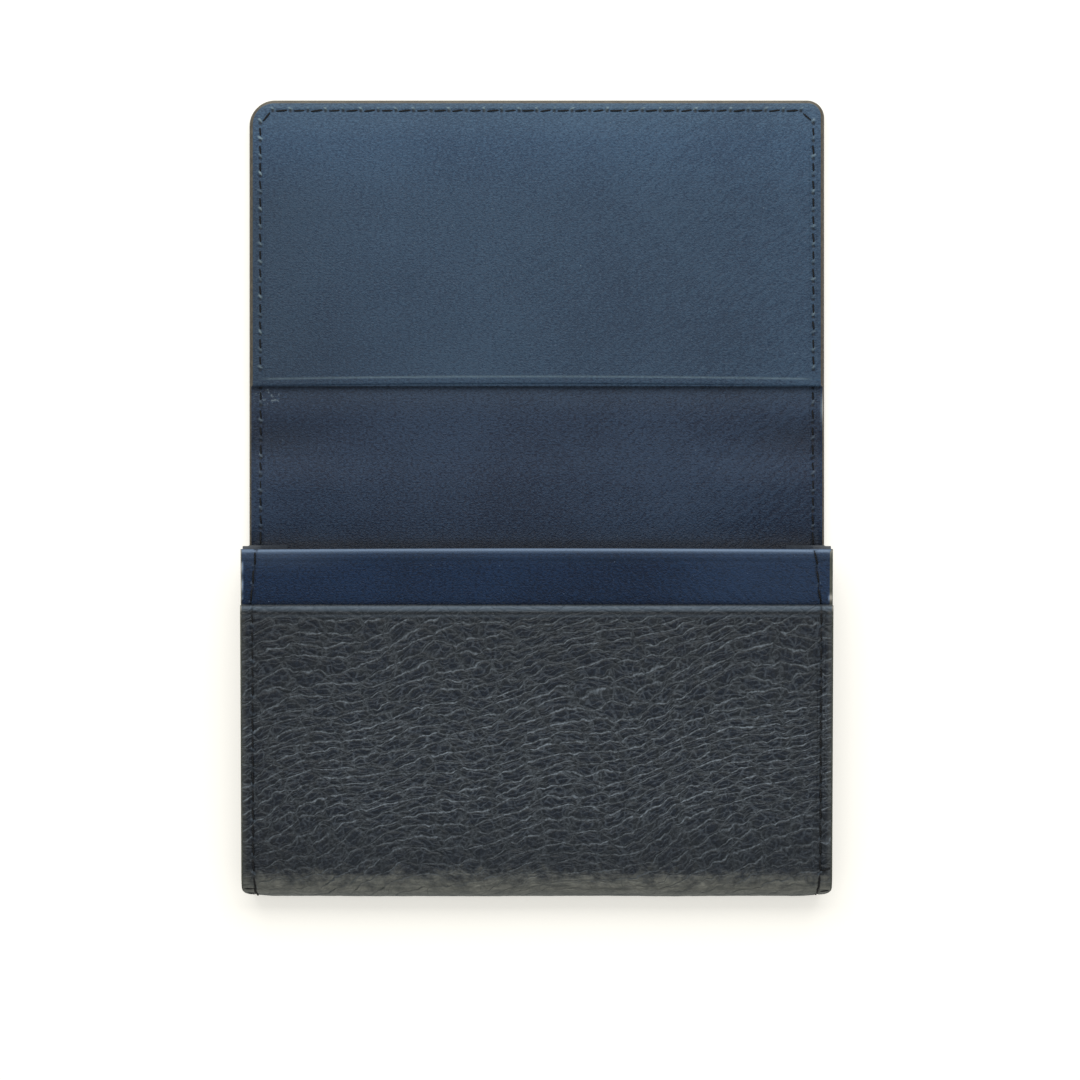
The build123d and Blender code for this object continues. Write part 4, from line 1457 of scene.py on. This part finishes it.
def make_board():
    """Salpa board: grey-brown leather fibre pressed into a stiff matt sheet."""
    material, tree = start_material("leather_fibre_board")
    place = add(tree, "TexCoord").outputs["Object"]
    fibre = add(tree, "TexNoise", {"Vector": place, "Scale": 1500.0, "Detail": 5.0})
    colour = add(tree, "Mix", {0: fibre, 6: linear("#5D5348"), 7: linear("#8C7F70")}, **RGBA)
    normal = add(tree, "Bump", {"Height": fibre, "Distance": 0.05 * MM, "Strength": 0.5})
    finish_material(tree, colour, normal, Roughness=0.85, IOR=1.45)
    return material


grained_leather = make_shrunken_calf()
panel_leather = make_smooth_calf("smooth_calf_navy", "#2A4360", "#415F7D", "#A9C4D0", 0.46, 1.0)
lining_leather = make_smooth_calf("lining_calf_navy", "#13223A", "#2B405B", "#7A8C9A", 0.5, 1.0)
# the divider's darker colours are painted shade: the same smooth calf as the panel, darkened where it leans
# away from the light
divider_material = make_smooth_calf("smooth_calf_dark_blue", "#0C1D35", "#193253", "#8CA4C4", 0.42, 0.8, 0.3)
gusset_leather = make_smooth_calf("gusset_calf_navy", "#1C2430", "#26303E", "#8C9298", 0.55, 0.5)
edge_paint = make_edge_paint()
thread = make_thread()
board = make_board()


def dress(piece, material, rim=None):
    """Gives a piece its material, and its rim the edge paint."""
    if rim is None:
        piece.data.materials.clear()
        piece.data.materials.append(material)
    else:
        piece.data.materials[0], piece.data.materials[1] = material, rim
    pick(piece)
    bpy.ops.object.shade_smooth_by_angle(angle=math.radians(38))


for piece in (pocket_leather, spine_leather, flap_leather):
    dress(piece, grained_leather, edge_paint)
for piece in (pocket_lining, flap_lining):
    dress(piece, lining_leather, edge_paint)
dress(flap_panel, panel_leather, edge_paint)
dress(divider, divider_material, edge_paint)
for piece in gussets:
    dress(piece, gusset_leather)
for piece in (stitching_flap, stitching_back, stitching_front):
    dress(piece, thread)
for name in ("back_board", "flap_board"):
    node = frame["nodes"][name]
    for place in node.material_slots:
        place.material = board

# ------------------------------------------------------------------ bodies
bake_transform(pocket_leather)
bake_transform(stitching_front)
for pieces, first, second, crease in (
    ((spine_leather, pocket_lining, stitching_back), "back", "spine", BACK_CREASE),
    ((flap_leather, flap_lining, stitching_flap), "spine", "flap", FLAP_CREASE),
):
    for piece in pieces:
        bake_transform(piece)
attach(flap_panel, "flap")
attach(divider, "front_pocket")
for piece, side, side_name, wall_name, body in (
    (gussets[0], -1, "left", "rear", "back"), (gussets[1], -1, "left", "front", "front_pocket"),
    (gussets[2], 1, "right", "rear", "back"), (gussets[3], 1, "right", "front", "front_pocket"),
):
    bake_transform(piece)
    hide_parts(f"gusset_{side_name}_{wall_name}_flange", f"gusset_{side_name}_{wall_name}_leaf")
for piece, slot, *replaced in (
    (pocket_leather, "grained_leather", "front_outer_leather", "back_outer_leather"),
    (spine_leather, "grained_leather", "spine_outer_leather"),
    (flap_leather, "grained_leather", "flap_outer_leather"),
    (pocket_lining, "lining_leather", "back_lining", "spine_lining"),
    (flap_lining, "lining_leather", "flap_lining"),
    (flap_panel, "smooth_leather", "flap_pocket_panel"),
    (divider, "smooth_leather", "divider_panel", "divider_lining"),
    (stitching_flap, "thread", "flap_stitching"),
    (stitching_back, "thread", "back_stitching", "spine_stitching"),
    (stitching_front, "thread", "front_stitching"),
):
    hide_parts(*replaced)

# ------------------------------------------------------------------ table, light and camera
bpy.ops.object.select_all(action="DESELECT")
bpy.ops.mesh.primitive_plane_add(size=6, location=(0, 0, -0.05 * MM))
floor = bpy.context.object
floor.name = "floor"
material, tree = start_material("pale_table")
camera_ray = add(tree, "LightPath").outputs["Is Camera Ray"]
matt = add(tree, "BsdfDiffuse", {"Color": linear("#EBEAE6")})
glow = add(tree, "Emission", {"Color": (1, 0.985, 0.93, 1), "Strength": 0.49})
together = add(tree, "AddShader", {0: matt, 1: glow})
seen = add(tree, "MixShader", {0: camera_ray, 1: matt, 2: together})
add(tree, "OutputMaterial", {"Surface": seen})
floor.data.materials.append(material)

world = bpy.data.worlds.new("soft_studio")
bpy.context.scene.world = world
world.use_nodes = True
surround = world.node_tree
surround.nodes.clear()
lit, looked_at = [
    add(surround, "Background", {"Color": linear("#F6F4EF"), "Strength": strength}) for strength in (0.5, 1.0)
]
from_camera = add(surround, "LightPath").outputs["Is Camera Ray"]
either = add(surround, "MixShader", {0: from_camera, 1: lit, 2: looked_at})
add(surround, "OutputWorld", {"Surface": either})

lamp = bpy.data.lights.new("window_light", "AREA")
lamp.shape = "RECTANGLE"
lamp.size, lamp.size_y, lamp.energy = 0.75, 0.45, 2.9
lamp.color = linear("#FFFDF8")[:3]
window = bpy.data.objects.new("window_light", lamp)
bpy.context.collection.objects.link(window)
window.location = (0, 0.42, 0.50)
window.rotation_euler = (Vector() - window.location).to_track_quat("-Z", "Y").to_euler()

eye = bpy.data.cameras.new("camera")
camera = bpy.data.objects.new("camera", eye)
bpy.context.collection.objects.link(camera)
camera.location = (0.0006, -0.0082, 0.690)
eye.sensor_width = 36
eye.lens = 122.2
eye.clip_start, eye.clip_end = 0.01, 20
bpy.context.scene.camera = camera
bpy.context.scene.view_settings.view_transform = "Standard"
